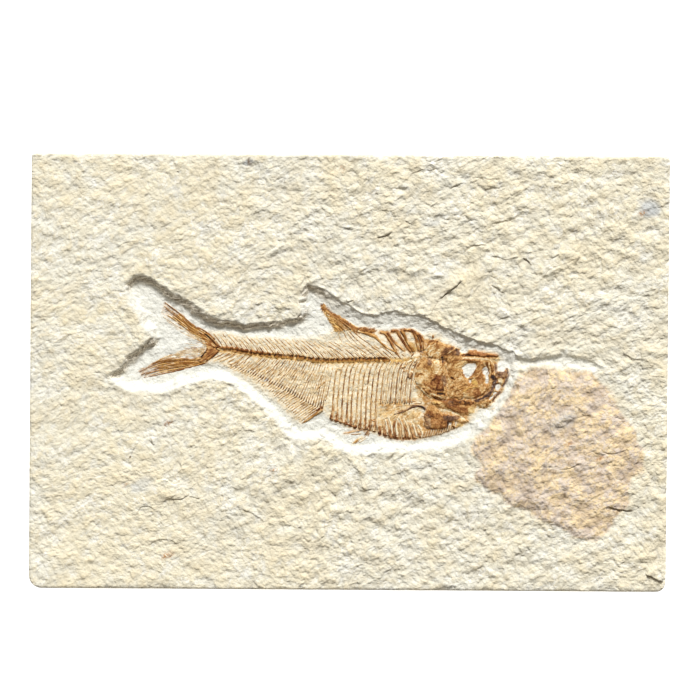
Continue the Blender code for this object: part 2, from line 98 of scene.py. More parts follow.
# breaks in the split face: points, and how high the stone above the line stands, or below it where negative
breaks = (
    (((14.5, 47.5), (16.1, 48.1), (17.8, 48.8)), 0.26), (((19.2, 48.3), (20.8, 49.0)), 0.18),
    (((29.4, 46.8), (30.7, 46.8), (31.8, 46.4), (35.7, 46.4)), 0.20),
    (((24.1, 43.9), (25.5, 44.7), (26.9, 45.4)), 0.28),
    (((32.1, 43.6), (33.8, 44.2), (36.5, 44.2)), 0.20),
    (((38.7, 42.4), (39.8, 43.0), (41.5, 43.7)), 0.20),
    (((10.4, 44.1), (12.3, 44.3), (13.9, 44.1)), 0.14), (((19.3, 39.6), (21.4, 41.1)), 0.20),
    (((13.2, 36.6), (14.5, 35.7), (16.4, 37.1)), 0.30),
    (((6.6, 32.3), (8.7, 32.8), (10.1, 33.5)), 0.42), (((21.9, 36.2), (23.6, 35.6)), 0.18),
    (((34.0, 35.7), (38.2, 36.3), (40.1, 37.1), (41.8, 38.8)), 0.20),
    (((26.1, 36.7), (27.7, 38.2), (29.1, 38.5)), 0.14),
    (((27.2, 28.6), (29.4, 30.2), (31.0, 30.5), (33.2, 30.5)), 0.26),
    (((23.9, 28.7), (25.0, 29.6)), 0.14),
    (((33.8, 27.8), (35.1, 27.8), (36.8, 27.1), (39.0, 27.3), (40.9, 27.8)), 0.22),
    (((41.5, 27.5), (42.6, 26.8), (43.7, 25.6)), 0.40), (((48.6, 27.2), (50.3, 28.3)), 0.24),
    (((46.4, 22.8), (47.3, 23.9), (48.6, 25.0), (52.0, 26.2), (56.1, 27.9)), 0.26),
    (((43.4, 23.8), (45.3, 23.5)), 0.18),
    (((21.4, 17.4), (23.6, 19.1), (25.4, 20.5), (27.4, 22.2)), 0.50),
    (((33.8, 21.0), (35.1, 20.3), (36.8, 18.9)), 0.28),
    (((19.3, 13.8), (20.2, 15.4), (21.5, 17.5)), 0.24), (((20.8, 22.7), (23.0, 23.2)), 0.14),
    (((-0.8, 16.9), (0.2, 17.0), (1.0, 17.4)), 0.30), (((12.8, 31.9), (14.2, 32.9)), 0.18),
    (((35.7, 12.5), (37.0, 13.1), (38.5, 13.3)), 0.22),
    (((-7.0, 39.7), (-5.6, 38.7), (-4.3, 38.1)), 0.20),
    (((-3.7, 35.6), (-1.6, 34.7), (0.4, 34.5)), 0.22),
    (((-26.0, -32.9), (-23.2, -34.0), (-20.5, -35.7)), 0.24), (((-11.2, -39.8), (-9.5, -40.6)), 0.20),
    (((65.0, 4.8), (68.0, 3.4), (71.0, 2.8)), 0.26),
    (((61.6, -32.1), (64.7, -33.0), (68.2, -33.2)), 0.50),
    (((-50.5, -16.7), (-51.8, -18.6), (-52.9, -20.8)), 0.16), (((-48.3, -16.1), (-46.9, -17.5)), 0.18),
    (((-47.7, -18.4), (-46.6, -19.4)), 0.18), (((-41.1, -21.6), (-40.3, -23.3), (-41.7, -24.4)), 0.16),
    (((-45.0, -31.3), (-43.6, -30.4), (-41.7, -30.4), (-39.7, -30.2), (-38.3, -29.1)), 0.26),
    (((-38.6, -29.7), (-35.9, -30.4)), 0.20),
    (((-51.3, -34.3), (-50.2, -32.6), (-48.5, -32.1), (-46.6, -33.2)), 0.20),
    (((-48.5, -41.5), (-46.6, -40.3), (-43.3, -40.3), (-40.6, -41.5)), 0.16),
    (((2.7, -26.0), (3.4, -28.2), (5.7, -28.0)), 0.26),
    (((-56.0, 30.0), (-53.4, 31.2), (-51.2, 31.4)), 0.14),
    (((71.0, -48.4), (73.2, -49.6), (75.4, -50.4)), 0.50),
    (((50.2, -23.4), (53.0, -23.0), (55.4, -21.8)), 0.30),
    (((45.6, -22.0), (48.6, -22.8), (50.2, -22.4)), 0.26),
    (((60.0, -18.8), (62.8, -19.6), (66.4, -18.6)), 0.24), (((54.6, -10.8), (57.8, -10.2)), 0.22),
    (((-50.5, -27.7), (-49.1, -27.7), (-47.4, -26.3), (-44.4, -25.5), (-42.2, -26.9), (-40.3, -26.3)),
      -0.26),
    (((14.2, 23.1), (17.0, 25.8), (18.6, 28.0)), -0.20), (((12.8, 35.7), (15.6, 32.7)), -0.16),
    (((19.2, 50.6), (21.9, 49.2)), -0.16), (((33.4, 23.0), (35.0, 21.0), (37.2, 18.4)), -0.16),
    (((24.0, 33.6), (26.6, 31.6), (30.4, 33.8)), -0.18),
    (((60.6, 14.6), (63.0, 12.4), (66.8, 12.8)), -0.18),
    (((-20.2, 28.4), (-16.8, 30.6), (-12.4, 31.2)), -0.16),
    (((-2.4, -33.6), (2.0, -32.0), (6.2, -32.4)), -0.18),
)

marks = {
    # middle, size along and across the grain: paler or greyer stone, and small stains
    "grey": (((72.1, 39.4), 2.3, 1.9), ((-24.4, 50.5), 1.2, 0.7), ((-20.0, -2.0), 0.6, 0.4)),
    "faint": (((51.2, -11.8), 3.4, 1.5), ((20.6, 35.8), 1.0, 0.6), ((-50.0, -27.0), 3.0, 1.6)),
    "rust": (
        ((-43.6, -12.2), 1.3, 0.5), ((-43.8, -43.9), 1.5, 0.6), ((-53.8, -27.1), 0.6, 0.4),
        ((-1.8, 48.8), 0.3, 0.9), ((-18.3, -23.5), 0.6, 0.4), ((70.4, 38.2), 0.9, 0.4),
        ((60.2, -20.6), 0.9, 0.4), ((52.6, -17.2), 0.9, 0.4),
    ),
    "dots": (((-70.1, 42.9), 0.28, 0.28), ((-51.4, 39.2), 0.28, 0.28), ((-22.3, 14.8), 0.26, 0.26),
             ((51.5, -29.3), 0.5, 0.4), ((-24.1, 50.6), 0.5, 1.1), ((-52.6, -20.4), 0.3, 0.3)),
}

recess = {
    "rim": (
        (-53.9, 20.8), (-52.9, 22.3), (-51.3, 23.2), (-49.4, 23.4), (-47.6, 22.8),
        (-44.8, 21.0), (-42.0, 19.1), (-39.2, 17.6), (-36.4, 15.7), (-34.0, 13.9),
        (-31.8, 12.9), (-28.0, 12.4), (-25.0, 11.9), (-21.5, 12.1), (-17.5, 12.5),
        (-13.6, 13.0), (-11.6, 14.3), (-12.1, 17.0), (-11.7, 19.2), (-10.1, 21.6),
        (-8.4, 21.0), (-6.9, 20.3), (-4.7, 19.1), (-2.5, 17.4), (0.4, 15.9),
        (3.0, 14.5), (5.6, 13.7), (7.8, 14.5), (10.7, 14.7), (13.6, 14.1),
        (18.0, 13.4), (21.0, 11.7), (24.3, 10.2), (27.2, 9.0), (30.2, 7.9),
        (33.5, 6.9), (37.1, 5.9), (40.0, 4.4), (41.0, 2.0), (40.2, -1.0), (38.4, -5.0),
        (36.2, -8.6), (33.4, -12.0), (30.6, -14.7), (27.2, -16.9), (23.0, -18.5),
        (17.0, -19.2), (9.0, -19.4), (1.0, -19.9), (-2.4, -19.0), (-5.4, -16.9),
        (-8.6, -15.9), (-12.4, -16.5), (-15.4, -14.7), (-18.4, -11.6), (-21.6, -8.2),
        (-25.4, -5.2), (-28.4, -2.9), (-31.6, -1.9), (-36.0, -2.4), (-41.0, -3.8),
        (-46.0, -5.2), (-51.0, -4.8), (-55.4, -3.6), (-57.9, -1.4), (-56.8, 0.4),
        (-55.0, 1.4), (-53.8, 3.2), (-51.8, 5.2), (-49.6, 7.0), (-47.7, 8.5),
        (-49.4, 10.4), (-51.0, 13.0), (-52.8, 16.2), (-53.8, 18.6),
    ),
    "tailFloor": (-57.0, 8.0),
    "headFloor": (41.0, 8.9),
    # how far a wall that faces down the picture leans back, from place to place
    "shadeWallRun": ((-57, -12, 0, 41), (2.5, 2.2, 3.6, 3.6)),
    "sunWallRun": 2.6,      # and one that faces up it
    "lip": (0.16, 0.3),     # a shaded wall starts with a small step: its share of the height, and its run
    "rimStep": (0.24, 0.24),    # and so it does over the back
    "ledge": ((-47, -42, -35, -31), (0.0, 0.34, 0.30, 0.0)),    # a shelf half way down the wall over the tail
    "raggedness": 0.46,
    "floorRoughness": 0.06,
    "floorSwell": 0.10,
    "wallRoughness": 0.42,
    "gougeShape": (0.36, 0.5),      # half width and depth of the strokes of a chisel
    "gouges": (((-48.9, 6.2), (-47.7, 8.5)), ((-47.8, 7.2), (-46.9, 8.4)), ((-47.2, 6.3), (-46.0, 7.5))),
    # the fish, and its head again, lies on a low rise: its height, how far out it starts, and its run
    "fishLift": (0.30, 1.2, 2.0),
    "headLift": (0.22, 0.8, 2.4),
}

groove = {
    "rim": (
        (39.2, 4.4), (42.5, 3.4), (47.0, 4.0), (52.0, 4.5), (56.5, 3.6), (60.0, 2.0),
        (60.4, 0.9), (58.0, 0.3), (53.0, 0.9), (47.5, 1.3), (43.5, 0.9), (39.6, 0.6),
    ),
    "floor": 9.35,
    "wallRun": 1.1,
}

mound = {
    "rim": (
        (40.2, 0.3), (46.0, 0.4), (52.0, 0.5), (57.0, 0.0), (60.4, -2.2), (63.4, -6.6),
        (65.2, -11.0), (68.8, -14.6), (70.2, -19.4), (69.4, -24.0), (66.2, -28.0), (66.4, -31.6),
        (63.6, -34.8), (61.0, -39.2), (57.4, -39.8), (52.6, -38.4), (47.6, -36.0),
        (43.0, -33.0), (38.8, -31.8), (36.0, -29.0), (32.4, -26.6), (29.8, -25.2), (30.8, -22.4),
        (29.2, -19.2), (30.9, -15.8), (35.2, -10.1), (38.2, -5.0),
    ),
    "height": 0.55,
    "shoulders": (3.4, 0.7),    # how far its edge runs out, and how far at the lower left
    "grit": (0.8, 0.13),        # wavelength, height
}

fish = {
    "bodyOutline": (
        (-34.5, 9.0), (-31.0, 9.9), (-26.0, 8.9), (-20.0, 8.5), (-14.0, 8.3), (-8.0, 8.6), (-4.0, 10.0),
        (2.0, 11.0), (8.0, 10.2), (14.0, 10.2), (18.0, 9.4), (21.0, 9.6), (25.0, 6.8), (30.0, 5.4),
        (35.6, 4.6), (37.8, 0.8), (37.0, -3.8), (34.4, -7.4), (31.0, -9.4), (29.2, -11.8),
        (25.0, -13.8), (19.0, -15.8), (13.0, -16.2), (7.0, -15.0), (2.0, -13.4), (-4.4, -11.4),
        (-7.0, -9.4), (-11.8, -12.4), (-14.4, -10.6), (-18.0, -7.0), (-22.6, -3.6), (-27.5, -0.4),
        (-31.5, 2.2), (-35.0, 2.4),
    ),
    "headOutline": (
        (17.4, 6.6), (19.0, 7.3), (20.2, 7.8), (21.4, 7.5), (22.6, 6.9), (25.2, 6.2), (26.4, 4.7),
        (28.4, 4.5), (30.5, 5.1), (33.2, 4.9), (35.5, 4.4), (35.4, 1.9), (37.9, 0.8), (37.8, -1.2),
        (36.6, -4.4), (34.4, -7.0), (33.0, -8.6), (30.6, -8.2), (28.6, -10.4), (28.6, -11.8),
        (25.4, -13.5), (21.8, -14.6), (18.2, -15.2), (17.4, -12.4), (18.2, -9.2), (17.0, -6.0),
        (15.6, -2.0), (16.0, 2.2), (17.0, 4.8),
    ),
}


def smoothLine(points, perSpan=4, closed=False):
    known = np.array(points, float)
    count = len(known)
    t = np.arange(perSpan)[:, None] / perSpan
    line = []
    for i in range(count if closed else count - 1):
        pick = [(i + k) % count if closed else min(max(i + k, 0), count - 1) for k in (-1, 0, 1, 2)]
        a, b, c, d = known[pick]
        line.append(0.5 * (2 * b + (c - a) * t + (2 * a - 5 * b + 4 * c - d) * t ** 2
                           + (3 * b - a - 3 * c + d) * t ** 3))
    line = np.concatenate(line)
    return line if closed else np.vstack([line, known[-1]])


def lineDistance(places, line, closed=False):
    # distance of each place to the line, and how far along the line its nearest point is, 0 to 1
    ends = np.roll(line, -1, axis=0) if closed else line[1:]
    starts = line if closed else line[:-1]
    lengths = np.linalg.norm(ends - starts, axis=1)
    total = max(lengths.sum(), 1e-9)
    best = np.full(len(places), 1e9)
    share = np.zeros(len(places))
    run = 0.0
    for a, b, length in zip(starts, ends, lengths):
        edge = b - a
        s = np.clip(((places - a) @ edge) / max(length * length, 1e-12), 0, 1)
        gap = np.linalg.norm(places - a - s[:, None] * edge, axis=1)
        closer = gap < best
        best[closer] = gap[closer]
        share[closer] = (run + s[closer] * length) / total
        run += length
    return best, share


def signedDistance(places, outline):
    # positive inside the closed outline
    gap, _ = lineDistance(places, outline, closed=True)
    inside = np.zeros(len(places), bool)
    for a, b in zip(outline, np.roll(outline, -1, axis=0)):
        spans = (a[1] > places[:, 1]) != (b[1] > places[:, 1])
        rise = b[1] - a[1] if b[1] != a[1] else 1e-9
        inside ^= spans & (places[:, 0] < a[0] + (places[:, 1] - a[1]) / rise * (b[0] - a[0]))
    return np.where(inside, gap, -gap)


def easeStep(value):
    t = np.clip(value, 0, 1)
    return t * t * (3 - 2 * t)


def lumps(along, across, seed):
    return np.array([noise.noise((a, b, seed)) for a, b in zip(along.tolist(), across.tolist())])


def patchy(places, wide, tall, seed):
    # a smooth noise over the places whose lumps have that width and height
    return lumps(places[:, 0] / wide, places[:, 1] / tall, seed)


def insideDistance(places, points, perSpan=2):
    return signedDistance(places, smoothLine(points, perSpan, closed=True))


def nearby(places, line, reach):
    # which places lie in the box round a line, made wider by the reach
    low, high = line.min(axis=0) - reach, line.max(axis=0) + reach
    return np.flatnonzero(np.all((places > low) & (places < high), axis=1))


def shifted(points, dx, dy):
    return tuple((x + dx, y + dy) for x, y in points)


def grainPlaces(places):
    # places along and across the grain, which bends a little over the slab
    turn = slab["grainTurn"]
    along = places[:, 0] * math.cos(turn) + places[:, 1] * math.sin(turn)
    across = places[:, 1] * math.cos(turn) - places[:, 0] * math.sin(turn)
    wave, reach = flakes["drift"]
    return along, across + reach * patchy(places, wave, wave, 27.0)


def wobble(places, size, seed, amount):
    # places moved a little by a smooth noise, so that what is drawn on them gets ragged edges
    shift = [patchy(places, size, size, own) for own in (seed, seed + 31.0)]
    return places + amount * np.stack(shift, axis=1)


def floorHeight(x):
    (x0, z0), (x1, z1) = recess["tailFloor"], recess["headFloor"]
    return z0 + (z1 - z0) * (x - x0) / (x1 - x0)


bodyOutline = smoothLine(fish["bodyOutline"], 2, closed=True)
headOutline = smoothLine(fish["headOutline"], 2, closed=True)


def bedHeight(places):
    # the stone that the bones lie on
    height = floorHeight(places[:, 0])
    for outline, key in ((bodyOutline, "fishLift"), (headOutline, "headLift")):
        lift, outside, run = recess[key]
        height = height + lift * easeStep((signedDistance(places, outline) + outside) / run)
    return height


def splitFace(places):
    # the rough upper face that the slab split along, without the recess
    along, across = grainPlaces(places)
    height = np.full(len(places), slab["thickness"])
    for lump, longWave, shortWave in slab["lumps"]:
        height += lump * lumps(along / longWave, across / shortWave, lump * 50)
    longWave, shortWave, amount = flakes["warp"]
    warp = amount * lumps(along / longWave, across / shortWave, 1.0)
    longWave, shortWave, large = flakes["large"]
    lean = flakes["overhang"] * lumps((along + warp) / longWave, (across - warp) / shortWave, 2.0)
    bigFlakes = lumps((along + warp) / longWave, (across - warp + lean) / shortWave, 2.0)
    longWave, shortWave, middle = flakes["middle"]
    lean = 0.5 * flakes["overhang"] * lumps(along / longWave, across / shortWave, 5.0)
    midFlakes = lumps(along / longWave, (across + lean + 0.4 * bigFlakes) / shortWave, 5.0)
    longWave, shortWave, small = flakes["small"]
    smallFlakes = lumps(along / longWave, across / shortWave, 8.0)
    longWave, shortWave, cushion = flakes["cushions"]
    cushions = np.abs(lumps((along - warp) / longWave, (across + warp) / shortWave, 10.0)) * 2 - 0.5
    strength = 1 - (1 - flakes["calmLeft"]) * (1 - roughness(places))
    relief = large * bigFlakes + middle * midFlakes + cushion * cushions * roughness(places)
    relief = strength * relief + small * smallFlakes
    return height, relief


def roughness(places):
    # 0 at the left, where the slab split more evenly, to 1
    start, end, wander = flakes["calmSpan"]
    return easeStep((places[:, 0] - start + wander * patchy(places, 30, 30, 29.0)) / (end - start))


def breakRelief(places):
    # a step along each break, with painted shadow in the thin crease under its higher lip
    step = np.zeros(len(places))
    gap = np.zeros(len(places))
    ragged = wobble(places, 1.0, 21.0, 0.16)
    narrow, wider = breakShape["crease"]
    for points, rise in breaks:
        line = smoothLine(points, 3)
        pick = nearby(places, line, breakShape["reach"] + 0.2)
        far, share = lineDistance(ragged[pick], line)
        ends = easeStep(np.minimum(share, 1 - share) * 5 + 0.15)
        beside = np.interp(share, np.linspace(0, 1, len(line)), line[:, 1])
        across = (ragged[pick, 1] - beside) * math.copysign(1, rise)
        lip = easeStep(across / breakShape["lip"] + 0.5) * easeStep(1 - far / breakShape["reach"])
        step[pick] += abs(rise) * ends * lip
        crease = ends * easeStep(1 - far / (narrow + wider * abs(rise)))
        step[pick] -= breakShape["creaseDepth"] * abs(rise) * crease
        # where the stone above the line stands higher, the crease gets painted shadow
        if rise > 0:
            gap[pick] = np.maximum(gap[pick], crease * min(1, breakShape["shadowDarkness"] * rise))
    return step, gap


def breakDistance(places):
    gap = np.full(len(places), 1e9)
    for points, _ in breaks:
        line = smoothLine(points, 2)
        pick = nearby(places, line, 1.5)
        gap[pick] = np.minimum(gap[pick], lineDistance(places[pick], line)[0])
    return gap


def markCover(places, kind, seed):
    along, across = grainPlaces(wobble(places, 0.9, seed, 0.35))
    cover = np.zeros(len(places))
    for (x, y), length, width in marks[kind]:
        a, b = grainPlaces(np.array([(x, y)]))
        reach = np.hypot((along - a) / length, (across - b) / width)
        cover = np.maximum(cover, easeStep(1.6 - reach * 1.1))
    return cover


# materials

class Wire:
    # one output of a node, or a number, that Python's operators work on
    def __init__(self, tree, socket):
        self.tree = tree
        self.socket = socket

    def maths(self, operation, *others, clamp=False):
        return self.tree.node("ShaderNodeMath", {"operation": operation, "use_clamp": clamp}, self, *others)

    def __add__(self, other):
        return self.maths("ADD", other)

    def __radd__(self, other):
        return self.maths("ADD", other)

    def __sub__(self, other):
        return self.maths("SUBTRACT", other)

    def __rsub__(self, other):
        return self.tree.node("ShaderNodeMath", {"operation": "SUBTRACT"}, other, self)

    def __mul__(self, other):
        return self.maths("MULTIPLY", other)

    def __rmul__(self, other):
        return self.maths("MULTIPLY", other)

    def __abs__(self):
        return self.maths("ABSOLUTE")

    def clamped(self):
        return self.maths("ADD", 0.0, clamp=True)

    def band(self, low, high):
        # 0 below low, 1 above high, smooth between
        named = {"Value": self, "From Min": low, "From Max": high}
        return self.tree.node("ShaderNodeMapRange", {"interpolation_type": "SMOOTHSTEP"}, **named)


class Finish:
    # a material whose nodes are added by expressions
    def __init__(self, name):
        self.material = bpy.data.materials.new(name)
        self.material.use_nodes = True
        self.nodes = self.material.node_tree.nodes
        self.links = self.material.node_tree.links
        self.shader = self.nodes["Principled BSDF"]
        coordinates = self.nodes.new("ShaderNodeTexCoord")
        # in millimetres
        self.places = self.vector("SCALE", Wire(self, coordinates.outputs["Object"]), Scale=1 / mm)

    def feed(self, socket, value):
        # from another node, or with a fixed value
        if isinstance(value, Wire):
            self.links.new(value.socket, socket)
        else:
            socket.default_value = value

    def node(self, kind, settings, *values, out=0, **named):
        node = self.nodes.new(kind)
        for key, value in settings.items():
            if key == "stops":
                self.setStops(node, value)
            else:
                setattr(node, key, value)
        for key, value in [*enumerate(values), *named.items()]:
            self.feed(node.inputs[key], value)
        return Wire(self, node.outputs[out])

    def vector(self, operation, *values, **named):
        return self.node("ShaderNodeVectorMath", {"operation": operation}, *values, **named)

    def setStops(self, node, stops):
        ramp = node.color_ramp
        while len(ramp.elements) < len(stops):
            ramp.elements.new(1.0)
        for element, (place, colour) in zip(ramp.elements, stops):
            element.position = place
            element.color = (*linear(colour), 1.0)

    def ramp(self, value, stops):
        return self.node("ShaderNodeValToRGB", {"stops": stops}, value)

    def attribute(self, name):
        return self.node("ShaderNodeAttribute", {"attribute_name": name}, out="Fac")

    def stretched(self, turn, length, at=None):
        # places turned to lie along a direction, in which a pattern on them is drawn out
        named = {"Vector": at or self.places, "Rotation": (0.0, 0.0, turn), "Scale": (length, 1.0, 1.0)}
        return self.node("ShaderNodeMapping", {"vector_type": "TEXTURE"}, **named)

    def noise(self, scale, detail=3.0, roughness=0.55, at=None):
        named = {"Vector": at or self.places, "Scale": scale, "Detail": detail, "Roughness": roughness}
        return self.node("ShaderNodeTexNoise", {}, **named)

    def wandering(self, at, scale, amount):
        # places moved about by a noise, so that a pattern on them loses its straight edges
        drift = self.node("ShaderNodeTexNoise", {}, Vector=at, Scale=scale, Detail=2.0, out=1)
        shift = self.vector("SCALE", self.vector("SUBTRACT", drift, (0.5, 0.5, 0.5)), Scale=amount * 2)
        return self.vector("ADD", at, shift)

    def cells(self, scale, at, smooth=0.0, feature="SMOOTH_F1", out=0):
        named = {"Vector": at, "Scale": scale}
        if feature == "SMOOTH_F1":
            named["Smoothness"] = smooth
        return self.node("ShaderNodeTexVoronoi", {"feature": feature}, out=out, **named)

    def red(self, colour):
        return self.node("ShaderNodeSeparateColor", {}, colour)

    def mix(self, share, first, second):
        # two colours; the colour sockets of this node are its seventh and eighth, and its third result
        node = self.nodes.new("ShaderNodeMix")
        node.data_type = "RGBA"
        for place, value in ((0, share), (6, first), (7, second)):
            if isinstance(value, tuple):
                value = (*linear(value), 1.0)
            self.feed(node.inputs[place], value)
        return Wire(self, node.outputs[2])

    def layers(self, colour, *layers):
        # each layer is how much of it shows, and its colour
        for share, over in layers:
            colour = self.mix(share, colour, over)
        return colour

    def bump(self, height, strength, distance, normal=None):
        named = {"Height": height, "Strength": strength, "Distance": distance * mm}
        if normal:
            named["Normal"] = normal
        return self.node("ShaderNodeBump", {}, **named)

    def finished(self, colour, roughness, normal=None):
        self.shader.inputs["Specular IOR Level"].default_value = 0.2
        self.feed(self.shader.inputs["Base Color"], colour)
        self.feed(self.shader.inputs["Roughness"], roughness)
        if normal:
            self.feed(self.shader.inputs["Normal"], normal)
        return self.material


def linear(colour):
    # a colour as seen, 0 to 255, as linear light
    return tuple(c / 255 / 12.92 if c <= 10 else ((c / 255 + 0.055) / 1.055) ** 2.4 for c in colour)


boneTones = (
    (0.0, (246, 232, 198)), (0.22, (230, 198, 144)), (0.42, (202, 154, 94)), (0.6, (158, 106, 54)),
    (0.8, (110, 66, 26)), (1.0, (44, 27, 14)),
)
paleBoneTones = (
    (0.0, (248, 236, 206)), (0.22, (233, 207, 162)), (0.42, (208, 168, 118)), (0.6, (168, 120, 76)),
    (0.8, (120, 76, 44)), (1.0, (58, 36, 24)),
)
# the palest and the darkest of each stain in the bone, of which a bone has a share of each
tints = {
    "ochre": ((247, 206, 120), (152, 84, 6)),
    "red": ((214, 150, 92), (104, 44, 10)),
    "grey": ((182, 166, 152), (44, 34, 36)),
}


def tinted(finish, colour, shade):
    for name, (pale, dark) in tints.items():
        colour = finish.mix(finish.attribute(name), colour, finish.mix(shade, pale, dark))
    return colour


def cutColour(finish, grain):
    # the chalky stone that the preparator's tool laid bare
    chalk = finish.mix(grain.band(0.45, 0.7) * 0.5, (243, 243, 235), (220, 219, 206))
    return finish.mix(finish.noise(0.5, 3.0, 0.6).band(0.48, 0.66) * 0.5, chalk, (228, 230, 222))


def stainedColour(finish, along, speckle, blotches, hollow):
    # the brown and violet patch right of the snout, with painted shade in its hollows
    dregs = finish.noise(0.75, 5.0, 0.75, at=along)
    return finish.layers(
        finish.mix(blotches.band(0.45, 0.55), (249, 222, 174), (226, 210, 194)),
        (speckle.band(0.52, 0.64) * 0.5, (204, 190, 186)),
        (dregs.band(0.50, 0.62) * 0.7, (204, 174, 130)),
        (dregs.band(0.61, 0.68) * 0.7, (150, 120, 92)),
        (finish.noise(0.9, 3.0, 0.6).band(0.56, 0.66) * 0.45, (253, 240, 212)),
        # painted shade in the hollows of the split face
        (hollow * 0.5, (178, 156, 136)),
    )


def wallShadeColour(finish):
    # painted shade for the walls that face away from the sun and for the chisel gouges, streaked with scraped
    # marks that follow the wall's height
    heights = finish.node("ShaderNodeCombineXYZ", {}, X=finish.attribute("depth") * 2.6)
    heights = finish.vector("MULTIPLY_ADD", finish.places, (0.0, 0.45, 0.3), heights)
    scrapes = finish.noise(1.6, 4.0, 0.65, at=finish.vector("ADD", heights, finish.stretched(0.0, 3.0)))
    return finish.mix(scrapes.band(0.43, 0.57), (255, 244, 220), (140, 120, 88))


def sawnColour(finish, grain):
    # the slab's sides, with its layers
    flat = finish.node("ShaderNodeMapping", {}, Vector=finish.places, Scale=(0.02, 0.02, 1.6))
    banding = finish.noise(1.0, 5.0, 0.65, at=flat)
    return finish.layers(
        finish.mix(banding.band(0.42, 0.62), (214, 203, 174), (192, 177, 143)),
        (banding.band(0.66, 0.72) * 0.7, (150, 130, 98)),
        (grain.band(0.5, 0.75) * 0.3, (176, 163, 134)),
    )


def stoneFinish():
    # limestone, with the paint that the slab's mesh carries as attributes
    finish = Finish("limestone")
    bent = finish.wandering(finish.places, 0.03, 3.0)
    along = finish.stretched(slab["grainTurn"], 1.1, at=bent)
    drifts = finish.noise(0.15, 4.0, 0.6, at=along)
    mottle = finish.noise(0.42, 4.0, 0.6, at=along)
    grain = finish.noise(2.2, 3.0, 0.6)
    speckle = finish.noise(1.5, 4.0, 0.65)
    blotches = finish.noise(0.34, 6.0, 0.78, at=along)
    # painted highlights: thin near-white lines like those along sunlit crests
    highlightLines = 1.0 - abs(finish.noise(0.28, 5.0, 0.6, at=along) - 0.5) * 34.0
    pebbles = finish.cells(1.0, at=finish.wandering(along, 0.7, 0.45), smooth=0.6)
    hollow, cut, stain, tone, cover = (
        finish.attribute(name) for name in ("hollow", "cut", "stain", "tone", "cover"))
    shade = (tone + (speckle - 0.5) * 0.8).clamped()
    stainShare = (stain * 1.5 + (blotches - 0.5) * 1.6 * stain).clamped() * 0.9
    boneShare = (cover + (speckle - 0.5) * 1.5 * cover).clamped()
    colour = finish.layers(
        finish.mix(finish.noise(0.05, 3.0, 0.6).band(0.42, 0.60), (243, 235, 209), (240, 236, 218)),
        (drifts.band(0.50, 0.62) * 0.34, (241, 226, 192)),
        (drifts.band(0.46, 0.36) * 0.34, (242, 243, 236)),
        (mottle.band(0.50, 0.66) * 0.45, (241, 224, 184)),
        (mottle.band(0.46, 0.34) * 0.5, (246, 247, 241)),
        (grain.band(0.56, 0.72) * 0.20, (216, 202, 172)),
        # painted shade in the creases between the pebbles, where their bump lies low
        (pebbles.band(0.30, 0.62) * 0.24, (214, 206, 186)),
        # painted shade in the hollows between the flakes
        (hollow * 0.34, (214, 206, 184)),
        # painted highlights: thin near-white lines in the paler drifts
        (highlightLines.clamped() * drifts.band(0.52, 0.42) * 0.8, (255, 253, 244)),
        (cut * 0.85, cutColour(finish, grain)),
        (stainShare, stainedColour(finish, along, speckle, blotches, hollow)),
        (boneShare, tinted(finish, finish.ramp(shade, boneTones), shade)),
        (finish.attribute("paleMark"), (192, 197, 200)),
        (finish.attribute("rust") * grain.band(0.36, 0.60), (186, 138, 92)),
        # painted shadow in the creases at the breaks, and small dark dots
        (finish.attribute("crack"), (112, 92, 66)),
        # painted shade on the walls that face away from the sun, and in the chisel gouges
        (finish.attribute("wall") * 0.85, wallShadeColour(finish)),
        (finish.attribute("side"), sawnColour(finish, grain)),
    )

    rough = finish.attribute("rough")
    crossways = finish.stretched(slab["grainTurn"] + 0.6, 1.15, at=bent)
    normal = finish.bump(finish.noise(0.42, 3.0, 0.55, at=along) * rough, 1.0, 1.0)
    fine = finish.noise(1.2, 3.0, 0.55, at=along) * 0.4 + finish.noise(1.6, 2.0, 0.5, at=crossways) * 0.4
    normal = finish.bump(fine - pebbles * pebbles * rough * (1.0 - cut * 0.8), 1.0, 0.29, normal)
    return finish.finished(colour, 0.92, normal)


def boneFinish(name, tones, roughness):
    finish = Finish(name)
    crushed = finish.attribute("crushed")
    bent = finish.wandering(finish.places, 1.1, 0.35)
    splinters = finish.red(finish.cells(0.9, at=bent, feature="F1", out=1))
    chips = finish.red(finish.cells(2.2, at=bent, feature="F1", out=1))
    seams = 1 - finish.cells(0.9, at=bent, feature="DISTANCE_TO_EDGE").band(0.0, 0.08)
    streaks = finish.noise(1.3, 5.0, 0.65)
    flecks = finish.noise(3.2, 3.0, 0.6)
    shade = finish.attribute("tone") + (streaks - 0.5) * 0.7 + (flecks - 0.5) * 0.4
    shade = shade + ((splinters - 0.5) * 0.22 + (chips - 0.5) * 0.20 + seams * 0.10) * crushed
    shade = shade.clamped()
    colour = tinted(finish, finish.ramp(shade, tones), shade)
    height = finish.noise(2.4, 5.0, 0.7) - seams * crushed * 0.4
    normal = finish.bump(height, 0.6, 0.12)
    return finish.finished(colour, roughness + (1.0 - shade) * 0.2, normal)


plain = {}      # no stain

# paint that the slab and the larger bones carry as attributes

